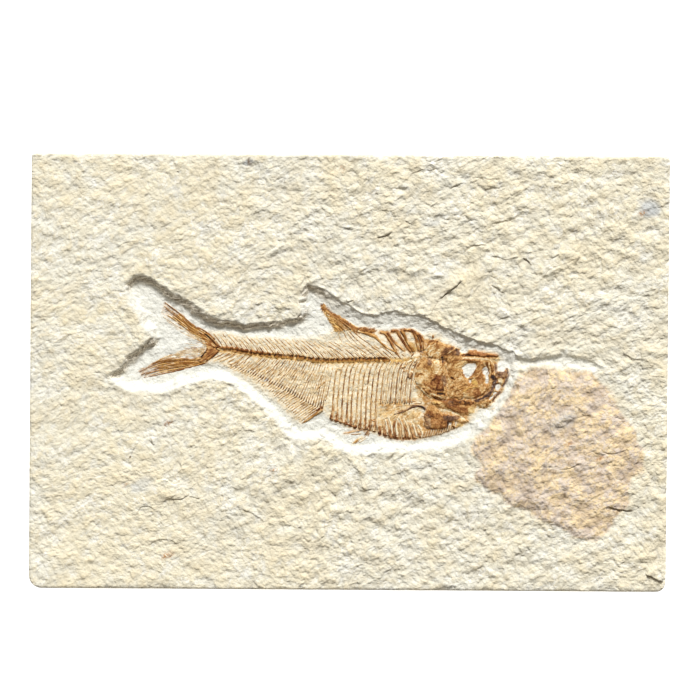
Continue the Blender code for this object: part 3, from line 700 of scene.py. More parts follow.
class Paint:
    def __init__(self, places, seed=3.0):
        self.places = wobble(wobble(places, 1.1, seed, 0.22), 0.45, seed + 7.0, 0.10)
        count = len(places)
        self.cover = np.zeros(count)    # how much bone hides the stone
        self.tone = np.zeros(count)     # how dark the bone is
        self.tints = {name: np.zeros(count) for name in tints}
        self.rise = np.zeros(count)     # height added, in millimetres

    def lay(self, pick, amount, tone, rise, tint):
        had = self.cover[pick] * (1 - amount)
        self.tone[pick] = (self.tone[pick] * had + tone * amount) / np.maximum(had + amount, 1e-6)
        self.cover[pick] = had + amount
        self.rise[pick] += rise * amount
        for name, share in self.tints.items():
            share[pick] = share[pick] * (1 - amount) + tint.get(name, 0.0) * amount

    def stroke(self, points, width, tone, cover=1.0, soft=0.3, rise=0.0, tint=plain, taper=1.0, bend=True):
        line = smoothLine(points, 4) if bend else np.array(points, float)
        pick = nearby(self.places, line, width + soft)
        gap, share = lineDistance(self.places[pick], line)
        half = width / 2 * (1 + (taper - 1) * share)
        amount = cover * easeStep((half + soft / 2 - gap) / soft)
        self.lay(pick, amount, tone, rise, tint)

    def within(self, points, soft):
        # the places in an outline or on its soft edge, and how far in they are, 0 to 1
        outline = smoothLine(points, 3, closed=True)
        pick = nearby(self.places, outline, soft)
        gap = signedDistance(self.places[pick], outline)
        return pick, easeStep((gap + soft / 2) / soft)

    def area(self, points, tone, cover=1.0, soft=1.0, rise=0.0, tint=plain):
        pick, share = self.within(points, soft)
        self.lay(pick, cover * share, tone, rise, tint)

    def wipe(self, points, soft, rise):
        # bare stone shows through
        pick, clear = self.within(points, soft)
        self.cover[pick] *= 1 - clear
        self.rise[pick] = self.rise[pick] * (1 - clear) + rise * clear


def setAttribute(mesh, name, values):
    attribute = mesh.attributes.new(name, "FLOAT", "POINT")
    attribute.data.foreach_set("value", np.asarray(values, np.float32))


def readPlaces(mesh):
    values = np.empty(len(mesh.vertices) * 3)
    mesh.vertices.foreach_get("co", values)
    return values.reshape(-1, 3) / mm


def writePlaces(mesh, values):
    mesh.vertices.foreach_set("co", (values * mm).ravel())
    mesh.update()


# the bones, as lines that both the paint and the solid bones follow

backLine = smoothLine((
    (-33.0, 6.3), (-31.0, 6.0), (-28.0, 5.8), (-24.0, 5.1), (-20.0, 4.6), (-16.0, 4.3), (-12.0, 4.0),
    (-8.0, 3.4), (-4.0, 3.3), (0.0, 3.4), (4.0, 3.5), (8.0, 3.5), (11.0, 3.3), (14.0, 3.3), (17.2, 3.6),
), 5)


def backHeight(x):
    return np.interp(x, backLine[:, 0], backLine[:, 1])


spines = {
    # on each side: where the first and the last grow, places along the back and how far off the tips lie
    # there in X and in Y, how far that varies, how far above the back the roots are, and at what share of
    # the way in X the middles are
    "pitch": 1.22,
    "upper": {
        "span": (-31.6, 14.5),
        "places": (-32, -20, -8, 0, 8, 16),
        "leanX": (-2.2, -3.0, -4.3, -5.2, -4.4, -2.6),
        "leanY": (3.1, 3.5, 4.2, 3.8, 3.2, 2.6),
        "uneven": 0.12,
        "root": 0.1,
        "middle": 0.42,
    },
    "lower": {
        "span": (-30.0, -5.2),
        "places": (-30, -20, -10, -5),
        "leanX": (-3.6, -3.6, -2.6, -1.8),
        "leanY": (-1.6, -3.0, -4.2, -4.6),
        "uneven": 0.0,
        "root": -1.2,
        "middle": 0.4,
    },
    "radius": 0.11,
}


def spineStrokes(side):
    own = spines[side]
    first, last = own["span"]
    strokes = []
    for i in range(int((last - first) / spines["pitch"]) + 1):
        x = first + i * spines["pitch"]
        dx, dy = (np.interp(x, own["places"], own[lean]) for lean in ("leanX", "leanY"))
        dy *= 1 + own["uneven"] * noise.noise((i * 0.7, 4.0, 0.0))
        y = backHeight(x) + own["root"]
        strokes.append(((x, y), (x + dx * own["middle"], y + dy * 0.5), (x + dx, y + dy)))
    return strokes


analFin = {
    "base": (
        (-28.5, 1.6), (-25.5, 0.4), (-23.0, -0.5), (-20.5, -1.7), (-18.0, -3.0), (-15.0, -4.5),
        (-12.6, -5.8), (-10.5, -7.0), (-8.6, -8.0), (-6.5, -8.7),
    ),
    "rays": 40,
    # how far off each ray ends, from the tail's end of the base to the head's
    "rayX": (-0.6, -0.9, -1.7, -3.4, -5.0),
    "rayY": (-0.3, -0.7, -1.4, -2.2, -3.6),
    "propX": (1.8, 2.6, 3.3, 2.6, 1.4),         # and the rods that carry the rays
    "propY": (1.6, 3.0, 5.0, 6.2, 7.6),
}


def analStrokes():
    base = smoothLine(analFin["base"], 5)
    reach = np.concatenate([[0], np.cumsum(np.linalg.norm(np.diff(base, axis=0), axis=1))])
    rays, props = [], []
    knots = np.linspace(0, 1, len(analFin["rayX"]))
    for i in range(analFin["rays"]):
        share = i / (analFin["rays"] - 1)
        x, y = (np.interp(share * reach[-1], reach, base[:, k]) for k in (0, 1))
        dx, dy = np.interp(share, knots, analFin["rayX"]), np.interp(share, knots, analFin["rayY"])
        rays.append(((x, y), (x + dx * 0.5, y + dy * 0.45), (x + dx, y + dy)))
        dx, dy = np.interp(share, knots, analFin["propX"]), np.interp(share, knots, analFin["propY"])
        props.append(((x, y), (x + dx * 0.55, y + dy * 0.5), (x + dx, y + dy)))
    return rays, props


ribs = {
    "pitch": 1.15,
    "count": 17,
    "firstFoot": -4.2,
    "belly": (
        (-4.4, -11.2), (-2.0, -12.0), (0.4, -12.9), (3.2, -13.6), (5.6, -14.0), (7.4, -14.8),
        (10.6, -15.8), (13.5, -15.9), (16.5, -15.8), (18.5, -15.5), (20.5, -15.1), (22.5, -14.5),
        (25.5, -13.2), (29.0, -11.7),
    ),
}
bellyLine = smoothLine(ribs["belly"], 4)


def bellyHeight(x):
    return np.interp(x, bellyLine[:, 0], bellyLine[:, 1])


def ribStrokes():
    strokes = []
    for i in range(ribs["count"]):
        x = ribs["firstFoot"] + ribs["pitch"] * i
        foot = bellyHeight(x) + 0.2
        top = backHeight(x + 2.2) - 0.9
        if i == 0:
            top = 0.6
        sway = 0.14 * noise.noise((i * 0.9, 2.0, 5.0))
        points = (
            (x, foot), (x + 0.16 + sway, -7.6), (x + 0.45 + sway, -4.0), (x + 0.8, -1.0),
            (x + 1.25, 0.9), (x + 2.1, top),
        )
        # behind the head they end at the pectoral fin
        strokes.append(points[1:] if i > 9 else points)
    return strokes


def scuteStrokes():
    # each wedge at the belly's edge: its line, and how wide it is at the edge
    strokes = []
    x = ribs["firstFoot"]
    while x < 25.4:
        lean, reach, wide, pitch = (np.interp(x, (3, 8, 15, 17.5), values) for values in (
            (0.30, -0.2, -0.5, 0.3), (2.8, 1.8, 1.2, 1.4), (0.50, 0.50, 0.50, 0.25), (1.12, 1.42, 1.5, 0.60)))
        y = bellyHeight(x)
        strokes.append((((x - 0.1, y), (x + lean * 0.4, y + reach * 0.5), (x + lean, y + reach)), wide))
        x += pitch
    return strokes


bellyBands = (
    # broad strokes that rise from the belly's edge under the head: line, tone at the edge
    (((8.4, -15.1), (8.3, -13.4), (8.0, -11.8)), 0.62),
    (((9.7, -15.5), (9.4, -13.4), (8.8, -11.4)), 0.66),
    (((10.9, -15.8), (10.6, -13.6), (10.9, -11.6)), 0.72),
    (((12.2, -15.8), (12.1, -13.4), (11.4, -11.4)), 0.66),
    (((13.8, -15.9), (13.3, -13.6), (12.4, -11.6)), 0.74),
    (((15.5, -15.9), (14.9, -13.8), (14.2, -12.2)), 0.68),
    (((17.0, -15.6), (16.6, -14.4), (16.0, -13.2)), 0.56),
)

tail = {
    "base": (
        (-34.5, 9.4), (-33.0, 8.2), (-31.4, 6.6), (-31.4, 5.2), (-33.4, 3.6), (-34.4, 2.2),
        (-36.4, 2.4), (-35.4, 4.0), (-34.2, 5.4), (-34.3, 7.4),
    ),
    "upper": {
        # lines from the root to the tip: the outer edge, the end of the strong rays, the end of the weak ones
        "edge": ((-32.4, 7.9), (-34.7, 9.9), (-37.6, 11.4), (-40.8, 14.2), (-44.4, 16.9)),
        "inner": ((-33.8, 7.2), (-36.8, 8.8), (-39.2, 10.5), (-42.0, 12.5), (-45.2, 14.5)),
        "fringe": ((-34.4, 6.4), (-36.2, 7.6), (-38.4, 8.5), (-41.0, 9.9), (-44.4, 12.4)),
        "fan": (((-34.5, 6.9), (-37.2, 7.9), (-39.8, 8.5)), ((-34.6, 6.0), (-37.4, 6.6), (-39.4, 7.0))),
    },
    "lower": {
        "edge": ((-34.7, 2.2), (-37.6, 1.4), (-41.0, 0.6), (-45.4, -0.3), (-49.4, -1.1)),
        "inner": ((-34.2, 3.8), (-37.4, 3.2), (-41.6, 3.3), (-46.0, 2.8), (-50.9, 0.3)),
        "fringe": ((-34.6, 5.6), (-36.6, 5.6), (-39.0, 5.5), (-41.8, 4.8), (-45.6, 3.2)),
        "fan": (((-34.7, 5.8), (-37.2, 6.1), (-39.4, 6.3)), ((-35.0, 5.2), (-38.0, 5.5), (-41.0, 5.8))),
    },
    "film": 4,      # how many of the knots the film between the strong rays reaches
    "redStreak": ((-34.2, 7.6), (-33.6, 6.4), (-32.6, 5.9)),
    "strongTones": (0.88, 0.70, 0.20, 0.78, 0.62, 0.24, 0.90, 0.50, 0.76, 0.14),
    "strongRays": 14,
    "weakRays": 9,
    "fanRays": 4,
}


def tailStrokes(side):
    # each ray's line, how far it lies from the outer edge, 0 to 1, and whether it is a weak one
    edge, inner, fringe = (np.array(tail[side][key]) for key in ("edge", "inner", "fringe"))
    spread = np.outer((0.0, 0.0, 0.3, 0.7, 1.0), (0.3, 0.9))
    strokes = []
    for i in range(tail["strongRays"]):
        share = (i + 0.3 * vary(i, 21.0)) / (tail["strongRays"] - 1)
        strokes.append((edge + (inner - edge) * share + 0.4 * vary(i, 22.0) * spread, share, False))
    for i in range(tail["weakRays"]):
        share = (i + 0.7) / tail["weakRays"]
        strokes.append((inner + (fringe - inner) * share, share, True))
    return strokes


def vary(i, seed):
    # about -1 to 1, the same each run
    return 1.7 * noise.noise((i * 1.37 + 0.5, seed, 7.3))


dorsalFin = {
    "blade": (
        (-6.9, 16.4), (-5.4, 15.3), (-4.1, 14.3), (-2.9, 13.7), (-1.5, 13.0), (0.1, 11.9), (1.9, 10.8),
        (3.6, 10.8), (5.2, 10.5), (6.2, 10.1), (6.0, 9.5), (4.4, 9.3), (2.8, 9.6), (1.2, 9.7),
        (0.0, 10.3), (-1.1, 11.0), (-1.5, 10.2), (-2.4, 9.8), (-3.4, 9.9), (-4.0, 10.8), (-4.7, 12.1),
        (-5.6, 13.4), (-6.5, 14.8),
    ),
    "band": ((-4.4, 14.0), (-2.9, 13.0), (-1.5, 12.2), (0.1, 11.1), (1.6, 10.2)),
    "tipPatch": ((-6.9, 16.4), (-5.3, 15.2), (-4.0, 14.2), (-4.6, 13.7), (-5.6, 14.4), (-6.5, 15.0)),
    "mass": ((1.9, 10.8), (3.4, 10.8), (4.8, 10.6), (6.2, 10.1), (6.1, 9.5), (3.6, 9.3), (2.2, 9.6)),
    "rays": 11,
    "rayTones": (0.30, 0.62, 0.16, 0.50),
    "tip": ((-5.6, 14.6), (-5.6, 13.8), (-5.3, 12.9), (-4.5, 11.6), (-3.8, 10.4)),
    "base": ((0.7, 10.2), (-3.1, 9.7)),
    "yellow": (
        (-6.4, 14.8), (-5.2, 14.6), (-4.0, 13.2), (-2.8, 11.8), (-2.2, 10.4), (-3.3, 9.9), (-5.6, 13.4),
    ),
    "wedge": ((2.4, 9.8), (4.4, 9.6), (6.0, 9.4), (7.0, 7.9), (5.6, 8.4), (3.8, 9.2)),
    "gap": ((-4.2, 13.4), (-2.9, 12.3), (-1.7, 11.3), (-0.6, 10.5)),   # a pale line under the dark band
    "bare": ((-1.7, 10.9), (-0.4, 10.9), (0.2, 10.2), (-0.9, 9.9), (-1.6, 10.2)),
    "props": (
        # the line, its radius and tone
        (((2.0, 9.9), (4.4, 9.2), (6.2, 8.4), (7.6, 7.1), (9.6, 5.6), (11.4, 4.8)), 0.36, 0.50),
        (((3.6, 9.6), (5.2, 9.0), (6.6, 8.3), (7.4, 7.6)), 0.40, 0.56),
        (((1.0, 9.8), (2.8, 8.2), (4.8, 6.8), (7.4, 4.8)), 0.11, 0.52),
        (((0.0, 9.8), (1.4, 8.2), (3.2, 6.6), (4.8, 5.2)), 0.12, 0.60),
        (((-0.5, 9.6), (0.4, 8.3), (1.6, 7.0)), 0.10, 0.56),
        (((-1.4, 9.7), (-0.8, 8.4), (0.2, 7.2)), 0.10, 0.48),
        (((-2.6, 9.6), (-2.4, 8.4), (-1.7, 7.2)), 0.10, 0.42),
        (((5.0, 9.3), (7.0, 7.4), (9.6, 4.9)), 0.11, 0.48),
    ),
}

pectoralFin = {
    "outline": (
        (5.4, -7.0), (8.4, -6.6), (12.6, -6.3), (16.8, -6.4), (17.8, -8.1), (15.6, -8.3), (12.4, -9.4),
        (8.4, -9.0),
    ),
    "rays": (
        ((17.4, -7.2), (13.0, -6.7), (8.0, -6.7), (5.6, -7.0)),
        ((17.4, -7.5), (13.4, -7.2), (9.4, -7.2), (7.0, -7.4)),
        ((17.6, -7.8), (14.6, -7.8), (11.6, -8.2), (8.6, -8.8)),
    ),
    "spine": (
        (10.6, -10.1), (12.4, -9.6), (14.0, -8.9), (15.2, -8.3), (16.8, -8.1), (17.7, -8.4),
        (18.2, -8.9),
    ),
}

pelvicFin = {
    "rays": (
        ((2.2, -13.9), (0.4, -14.4), (-1.4, -14.7)),
        ((3.6, -14.2), (2.2, -14.8), (0.4, -14.9)),
        ((4.6, -14.2), (3.6, -15.6), (1.4, -17.0)),
        ((4.9, -14.4), (4.0, -15.8), (2.4, -16.8)),
    ),
    "streaks": (
        # line, tone, tint
        (((1.2, -14.1), (-0.2, -14.5), (-1.3, -14.6)), 0.30, {"red": 0.5}),
        (((2.9, -15.6), (2.0, -16.2), (1.0, -17.0)), 0.22, {"ochre": 0.5}),
        (((4.4, -13.4), (3.2, -13.7), (2.0, -14.1)), 0.62, {"grey": 0.3}),
        (((5.4, -12.6), (4.6, -13.8), (3.8, -15.0)), 0.56, {"grey": 0.5}),
        (((6.2, -12.0), (6.6, -13.2), (6.9, -14.2)), 0.66, {"grey": 0.3}),
        (((5.4, -11.6), (6.2, -11.7), (6.6, -12.4)), 0.40, {"red": 0.6}),
    ),
}

analFilm = (
    (-31, 2.6), (-20, 1.0), (-8, 0.4), (-5, 1.0), (-5.4, -8), (-8, -9.2), (-12, -8.6), (-19, -3.2),
    (-27, 0.6),
)
bellyFilm = (
    (6.0, -9.4), (12, -8.6), (17, -9.2), (18, -12), (18.4, -15.4), (12, -15.9), (7.4, -14.6),
    (5.6, -12),
)
ribFilm = ((-4.4, 2.0), (6, 2.4), (16, 3.0), (17, -6), (17, -15.6), (8, -14.8), (-4.2, -11.4))

predorsal = (
    ((7.6, 9.6), (8.6, 9.3), (9.6, 7.8), (10.6, 6.0), (11.5, 4.4)),
    ((9.2, 9.4), (10.2, 7.8), (12.0, 6.2), (13.0, 5.2)),
    ((10.2, 9.8), (11.4, 10.0), (12.0, 8.8), (13.2, 6.8), (14.8, 4.9)),
    ((12.6, 9.9), (13.2, 8.8), (14.2, 6.8), (15.5, 4.9)),
    ((13.2, 10.1), (14.6, 10.1), (15.6, 9.2), (16.2, 7.4), (16.6, 5.2)),
    ((14.8, 10.0), (16.0, 9.5), (16.8, 8.2), (17.2, 6.4), (17.4, 5.2)),
    ((16.2, 9.2), (17.2, 8.5), (17.9, 7.0), (18.0, 5.4)),
)

predorsalFilm = ((13.4, 7.2), (15.0, 7.0), (16.4, 6.2), (16.4, 5.2), (14.6, 5.0))
predorsalHeads = ((11.0, 9.9), (12.4, 10.1), (14.0, 10.1), (15.6, 9.7), (17.0, 8.8))

ochre = {"ochre": 0.85}
amber = {"ochre": 0.45}
red = {"red": 0.75}
reddish = {"red": 0.4}
plum = {"grey": 0.5}
plumGrey = {"grey": 0.75}

headPatches = (
    # outline, tone, rise, tint
    (((17.6, 7.6), (19.5, 7.8), (21.3, 7.2), (22.4, 6.5), (22.4, 4.1), (21.5, 2.5), (18.7, 2.5),
      (18.2, 4.7)), 0.44, 0.0, {}),
    (((22.6, 5.8), (25.4, 6.1), (26.4, 4.7), (26.3, 4.1), (24.8, 3.9), (22.8, 4.1), (22.1, 3.3),
      (21.9, 3.9)), 0.72, 0.12, {"grey": 0.2}),
    (((25.5, 5.7), (26.3, 5.2), (26.5, 4.4), (25.6, 4.2)), 0.84, 0.05, plum),
    (((27.0, 4.3), (28.7, 4.6), (28.8, 3.9), (27.4, 3.7)), 1.0, -0.08, {}),
    (((28.5, 4.7), (29.2, 5.5), (31.1, 5.1), (32.7, 4.6), (35.6, 4.3), (35.5, 3.8), (32.2, 3.9),
      (29.2, 4.0)), 0.58, 0.22, red),
    (((34.9, 3.1), (36.0, 3.7), (36.2, 2.8), (35.2, 2.6)), 0.16, 0.05, amber),
    (((25.3, 1.9), (26.8, 2.6), (28.6, 2.5), (27.4, 1.8), (26.8, 0.9), (25.6, 1.0)),
      0.12, 0.05, {"ochre": 0.3}),
    (((30.1, -0.1), (31.8, 0.3), (32.2, -1.2), (31.8, -2.7), (30.5, -2.7)), 0.58, 0.08, reddish),
    (((29.7, -4.1), (31.1, -4.0), (31.5, -5.4), (30.0, -6.0)), 0.74, 0.02, red),
    (((33.7, -1.2), (34.5, -0.6), (35.7, -1.9), (35.0, -2.1)), 1.0, -0.08, plum),
    (((35.5, -0.1), (37.6, 0.3), (37.6, -1.2), (35.8, -1.2)), 0.56, 0.10, plum),
    (((35.7, -1.6), (37.0, -1.6), (36.9, -2.5), (35.9, -2.5)), 0.04, 0.0, {}),
    (((20.6, -0.5), (21.8, -0.7), (22.3, -2.6), (22.5, -4.3), (21.2, -4.5), (19.8, -4.2), (18.8, -3.1),
      (19.8, -2.1), (20.1, -1.3)), 0.68, 0.10, red),
    (((22.1, -1.2), (23.1, -0.8), (23.3, -3.0), (22.4, -3.2)), 0.52, 0.0, plum),
    (((20.4, 3.0), (21.9, 3.2), (22.1, -0.1), (20.6, -0.3)), 0.10, 0.05, {}),
    (((18.9, 1.4), (19.9, 1.4), (19.9, -0.1), (18.9, 0.1)), 0.45, 0.05, amber),
    (((15.4, -1.4), (17.3, -1.1), (17.3, -2.7), (15.6, -2.7)), 0.04, 0.05, {}),
    (((18.7, 3.5), (19.6, 3.6), (19.7, 1.7), (18.9, 1.7)), 0.70, 0.0, plum),
    (((20.2, -7.0), (21.5, -7.1), (21.4, -7.9), (20.4, -7.7)), 0.30, 0.05, ochre),
    (((22.6, -6.7), (24.8, -6.3), (26.3, -7.2), (25.6, -8.2), (23.7, -8.5), (22.8, -7.6)),
      0.78, 0.10, reddish),
    (((23.7, -7.0), (25.0, -7.0), (24.9, -7.9), (23.9, -7.8)), 0.94, -0.05, plum),
    (((25.6, -6.9), (27.2, -6.7), (28.4, -7.0), (29.9, -7.2), (29.2, -7.8), (27.4, -8.0), (26.4, -7.6)),
      0.86, 0.02, {}),
    (((24.1, -8.4), (26.3, -8.1), (28.2, -8.6), (28.3, -9.9), (26.3, -9.6), (24.6, -9.1)),
      0.60, 0.06, red),
    (((28.5, -8.5), (29.9, -8.4), (29.9, -9.7), (28.7, -9.8)), 0.10, 0.08, {"ochre": 0.6}),
    (((18.6, -9.3), (20.0, -9.6), (22.4, -10.2), (26.3, -10.6), (25.5, -11.3), (24.1, -11.9),
      (23.3, -12.6), (22.6, -13.5), (20.0, -13.7), (18.7, -13.1), (18.0, -11.5)), 0.62, 0.08, reddish),
    (((22.6, -10.4), (26.4, -10.7), (25.4, -11.5), (23.0, -11.6)), 0.72, 0.02, plum),
    (((18.0, -10.2), (19.4, -10.4), (19.5, -13.2), (18.2, -13.3)), 0.50, 0.0, plum),
    (((20.0, -11.4), (21.9, -11.4), (21.9, -12.6), (20.0, -12.7)), 0.54, 0.06, red),
    (((14.4, 7.2), (15.6, 6.9), (15.8, 5.4), (14.6, 5.4)), 0.40, 0.0, amber),
)

headStrokes = (
    # points, width, tone, rise, tint
    (((18.4, 5.4), (19.3, 6.2), (20.6, 6.9)), 0.32, 0.04, 0.06, {}),
    (((18.9, 4.7), (19.8, 5.4), (20.7, 5.9)), 0.30, 0.06, 0.06, {}),
    (((19.4, 3.9), (20.6, 4.6), (21.6, 4.8)), 0.26, 0.12, 0.05, {}),
    (((19.2, 7.4), (20.2, 7.7), (21.2, 7.3)), 0.45, 0.70, 0.05, {}),
    (((23.6, 4.5), (24.6, 5.2), (25.6, 6.0)), 0.22, 0.10, 0.06, {}),
    (((22.1, 3.6), (22.4, 3.2), (22.3, 2.4)), 0.35, 0.90, -0.05, plum),
    # painted shadow: a dark line under the lower edge of the red bar
    (((28.7, 4.0), (31.0, 3.8), (33.4, 3.7), (35.6, 3.7)), 0.26, 0.88, -0.1, {}),
    (((27.4, 3.4), (29.6, 3.4), (31.2, 3.3), (33.4, 3.2)), 0.32, 0.02, 0.05, {}),
    (((26.4, 3.1), (28.2, 3.0), (30.1, 2.9), (31.6, 2.3), (32.2, 1.5)), 0.46, 0.54, 0.10, reddish),
    (((31.6, 1.9), (30.3, 0.1), (29.0, -1.6), (27.4, -3.0)), 0.44, 0.50, 0.14, {}),
    (((31.2, 1.9), (29.9, 0.0), (28.7, -1.5)), 0.12, 0.86, -0.04, {}),
    (((32.3, 0.6), (31.1, -0.8), (29.9, -1.9)), 0.34, 0.62, 0.10, {}),
    (((31.7, 0.4), (30.7, -0.8), (29.5, -1.9)), 0.14, 0.10, 0.0, {}),
    (((29.7, -2.3), (30.5, -2.6)), 0.95, 0.28, 0.06, {"ochre": 1.0}),
    (((30.7, -3.3), (28.8, -3.8), (27.4, -4.5)), 0.42, 0.40, 0.08, ochre),
    (((26.2, -3.9), (27.4, -3.7), (28.4, -3.4)), 0.28, 0.20, 0.06, amber),
    (((32.9, 2.4), (33.5, 0.8), (33.2, -0.1)), 0.30, 0.76, 0.06, {}),
    (((33.8, 2.5), (34.0, 1.2), (34.5, -0.1)), 0.34, 0.72, 0.06, {}),
    (((33.4, 2.4), (33.8, 1.0), (33.9, -0.2)), 0.18, 0.04, 0.04, {}),
    (((35.0, 1.9), (35.2, 0.8), (35.3, -0.2)), 0.50, 0.70, 0.06, plum),
    (((37.9, 0.9), (38.2, -0.5), (37.7, -1.8), (36.9, -3.4)), 0.50, 0.72, 0.10, plumGrey),
    (((34.9, -2.3), (34.5, -3.6), (34.0, -4.7), (32.9, -5.8), (31.6, -6.5), (30.3, -6.9)),
      0.95, 0.84, 0.06, plum),
    (((34.2, -2.9), (33.9, -4.0), (33.1, -5.0), (31.8, -5.8)), 0.16, 0.30, 0.05, {}),
    (((33.1, -6.0), (32.0, -6.6), (31.1, -6.9)), 0.14, 0.20, 0.05, {}),
    (((36.1, -4.8), (34.9, -5.8), (34.4, -6.8)), 0.55, 0.62, 0.06, plum),
    (((33.1, -7.6), (32.7, -8.1)), 0.55, 0.56, 0.05, {}),
    (((31.4, -7.6), (31.9, -8.6)), 0.30, 0.50, 0.03, {}),
    (((33.6, -7.0), (33.9, -7.4)), 0.34, 0.70, 0.03, {}),
    (((24.4, -1.2), (25.2, -1.6)), 0.34, 0.92, -0.05, {}),
    (((20.9, -1.2), (21.3, -2.2), (21.1, -3.4)), 0.80, 0.80, 0.0, red),
    (((19.5, -3.2), (20.2, -3.5), (20.8, -3.4)), 0.34, 0.46, 0.04, amber),
    (((22.2, -2.0), (22.4, -3.2), (22.5, -4.2)), 0.26, 0.92, 0.0, {}),
    (((20.2, -4.1), (21.3, -4.2), (22.5, -4.2)), 0.34, 0.96, -0.08, {}),
    # painted shadow: a black line near the lower edge of the gill cover
    (((21.2, -5.0), (22.0, -5.2), (22.8, -5.4)), 0.44, 1.0, -0.12, {}),
    (((17.8, -4.0), (18.9, -5.4), (20.6, -6.3), (22.2, -6.9)), 0.30, 0.82, -0.06, {}),
    (((19.5, -5.0), (20.8, -5.5), (22.2, -6.2)), 0.34, 0.08, 0.06, {}),
    (((19.2, -4.5), (20.4, -4.9), (21.0, -4.9)), 0.26, 0.80, 0.0, {}),
    (((19.6, -5.6), (21.0, -6.0), (22.8, -6.6)), 0.22, 0.76, 0.0, {}),
    (((15.6, -2.6), (16.9, -4.2), (18.2, -5.6), (19.3, -6.5)), 0.28, 0.74, -0.04, {}),
    (((16.1, -2.7), (17.3, -4.1), (18.5, -5.3), (19.9, -6.1)), 0.26, 0.06, 0.06, {}),
    (((16.3, -4.2), (17.4, -5.1), (17.2, -6.3)), 0.28, 0.04, 0.05, {}),
    (((16.5, -0.6), (17.1, -0.2), (17.9, -0.6)), 0.26, 0.78, -0.04, {}),
    (((16.7, -0.9), (17.7, -0.9)), 0.22, 0.08, 0.04, {}),
    (((16.9, 5.0), (17.5, 4.7)), 0.50, 0.88, -0.03, {}),
    (((16.2, 5.7), (16.8, 5.5)), 0.50, 0.20, 0.03, ochre),
    (((15.8, 1.4), (16.6, 1.7), (17.2, 2.1)), 0.26, 0.84, -0.04, {}),
    (((20.9, -7.5), (21.5, -7.8)), 0.34, 1.0, -0.06, {}),
    (((21.9, -9.2), (24.1, -9.2), (25.9, -9.9), (28.5, -11.7)), 0.62, 0.03, 0.0, {}),
    (((24.4, -8.9), (26.3, -9.8), (27.6, -10.9), (28.8, -12.0)), 0.22, 0.72, 0.03, {}),
    (((23.6, -11.8), (23.6, -12.8), (23.4, -13.6)), 0.30, 0.92, 0.0, plum),
    (((24.8, -13.1), (25.1, -13.3)), 0.55, 1.0, 0.0, {}),
    (((25.9, -12.5), (27.0, -12.7)), 0.66, 0.12, 0.03, {"ochre": 0.7}),
    (((19.2, -13.4), (20.3, -13.6)), 0.40, 0.94, 0.0, {}),
    (((11.3, -9.8), (13.2, -9.2), (14.6, -8.7)), 0.24, 0.68, 0.0, plum),
    (((14.2, -8.8), (15.2, -8.3), (16.8, -8.1), (17.7, -8.4), (18.2, -8.9)), 0.42, 0.98, 0.02, plum),
    (((14.6, -7.5), (16.2, -7.2), (17.8, -7.5)), 0.5, 0.03, 0.03, {}),
)

shardGroups = (
    # middle, spread, direction in degrees, how far that scatters, how many, palest and darkest
    ((19.8, 5.6), (2.2, 2.0), 55, 22, 26, 0.02, 0.70),
    ((24.2, 5.0), (2.0, 1.0), 25, 25, 12, 0.40, 0.92),
    ((20.6, 1.8), (1.8, 1.8), 80, 45, 26, 0.0, 0.75),
    ((24.8, 2.2), (2.4, 1.6), 35, 30, 22, 0.20, 0.75),
    ((18.0, -1.0), (1.6, 1.8), -20, 60, 18, 0.05, 0.60),
    ((18.0, -4.6), (1.6, 1.4), -48, 12, 14, 0.05, 0.70),
    ((25.4, -2.0), (2.6, 2.8), 25, 50, 34, 0.25, 0.62),
    ((28.4, -5.0), (2.4, 1.0), 18, 18, 20, 0.20, 0.70),
    ((34.0, 1.4), (0.9, 1.4), 80, 25, 12, 0.02, 0.8),
    ((33.0, -4.0), (1.0, 1.4), 55, 15, 10, 0.40, 0.85),
    ((36.4, -2.6), (0.7, 1.8), 65, 25, 10, 0.05, 0.8),
    ((33.2, -7.4), (1.5, 1.0), 50, 30, 16, 0.0, 0.6),
    ((26.0, -8.4), (2.6, 1.0), -15, 18, 16, 0.45, 0.85),
    ((21.8, -11.8), (2.6, 1.6), 10, 40, 16, 0.45, 0.75),
    ((20.4, -5.8), (2.0, 0.9), -28, 10, 12, 0.05, 0.9),
    ((14.4, 1.0), (1.8, 2.0), 0, 80, 20, 0.0, 0.45),
    ((13.6, -10.6), (3.2, 1.0), 70, 50, 26, 0.05, 0.55),
    ((16.6, -12.8), (1.4, 2.0), -62, 14, 20, 0.0, 0.6),
    ((10.0, -8.0), (3.0, 1.0), 20, 60, 22, 0.1, 0.5),
    ((20.9, -2.5), (1.3, 1.8), 68, 30, 14, 0.30, 1.0),
    ((20.6, -11.6), (2.4, 1.6), -12, 30, 16, 0.30, 0.95),
    ((26.4, -9.0), (1.8, 0.8), -22, 20, 10, 0.35, 0.95),
    ((27.6, -2.6), (3.0, 2.6), 30, 40, 24, 0.05, 0.80),
    ((-5.8, 15.2), (0.6, 0.6), -45, 20, 5, 0.35, 1.0),
    ((-2.9, 12.9), (1.0, 0.5), -38, 25, 7, 0.35, 1.0),
    ((-0.6, 11.6), (1.0, 0.5), -38, 25, 7, 0.35, 1.0),
    ((4.0, 10.1), (1.8, 0.4), -8, 40, 9, 0.30, 1.0),
)


def shardStrokes():
    # splinters of bone, thrown the same way each run
    dice = np.random.default_rng(5)
    strokes = []
    for middle, spread, direction, scatter, count, palest, darkest in shardGroups:
        for _ in range(round(2.4 * count)):
            x, y = np.array(middle) + np.array(spread) * dice.uniform(-1, 1, 2)
            turn = math.radians(direction + scatter * dice.uniform(-1, 1))
            reach = np.array((math.cos(turn), math.sin(turn))) * dice.uniform(0.4, 1.2)
            bow = np.array((-reach[1], reach[0])) * dice.uniform(-0.3, 0.3)
            points = ((x - reach[0], y - reach[1]), (x + bow[0], y + bow[1]), (x + reach[0], y + reach[1]))
            width, tone, rise = dice.uniform((0.11, -0.15, -0.05), (0.32, 1.15, 0.09))
            strokes.append((points, width, palest + (darkest - palest) * easeStep(tone), rise))
    return strokes


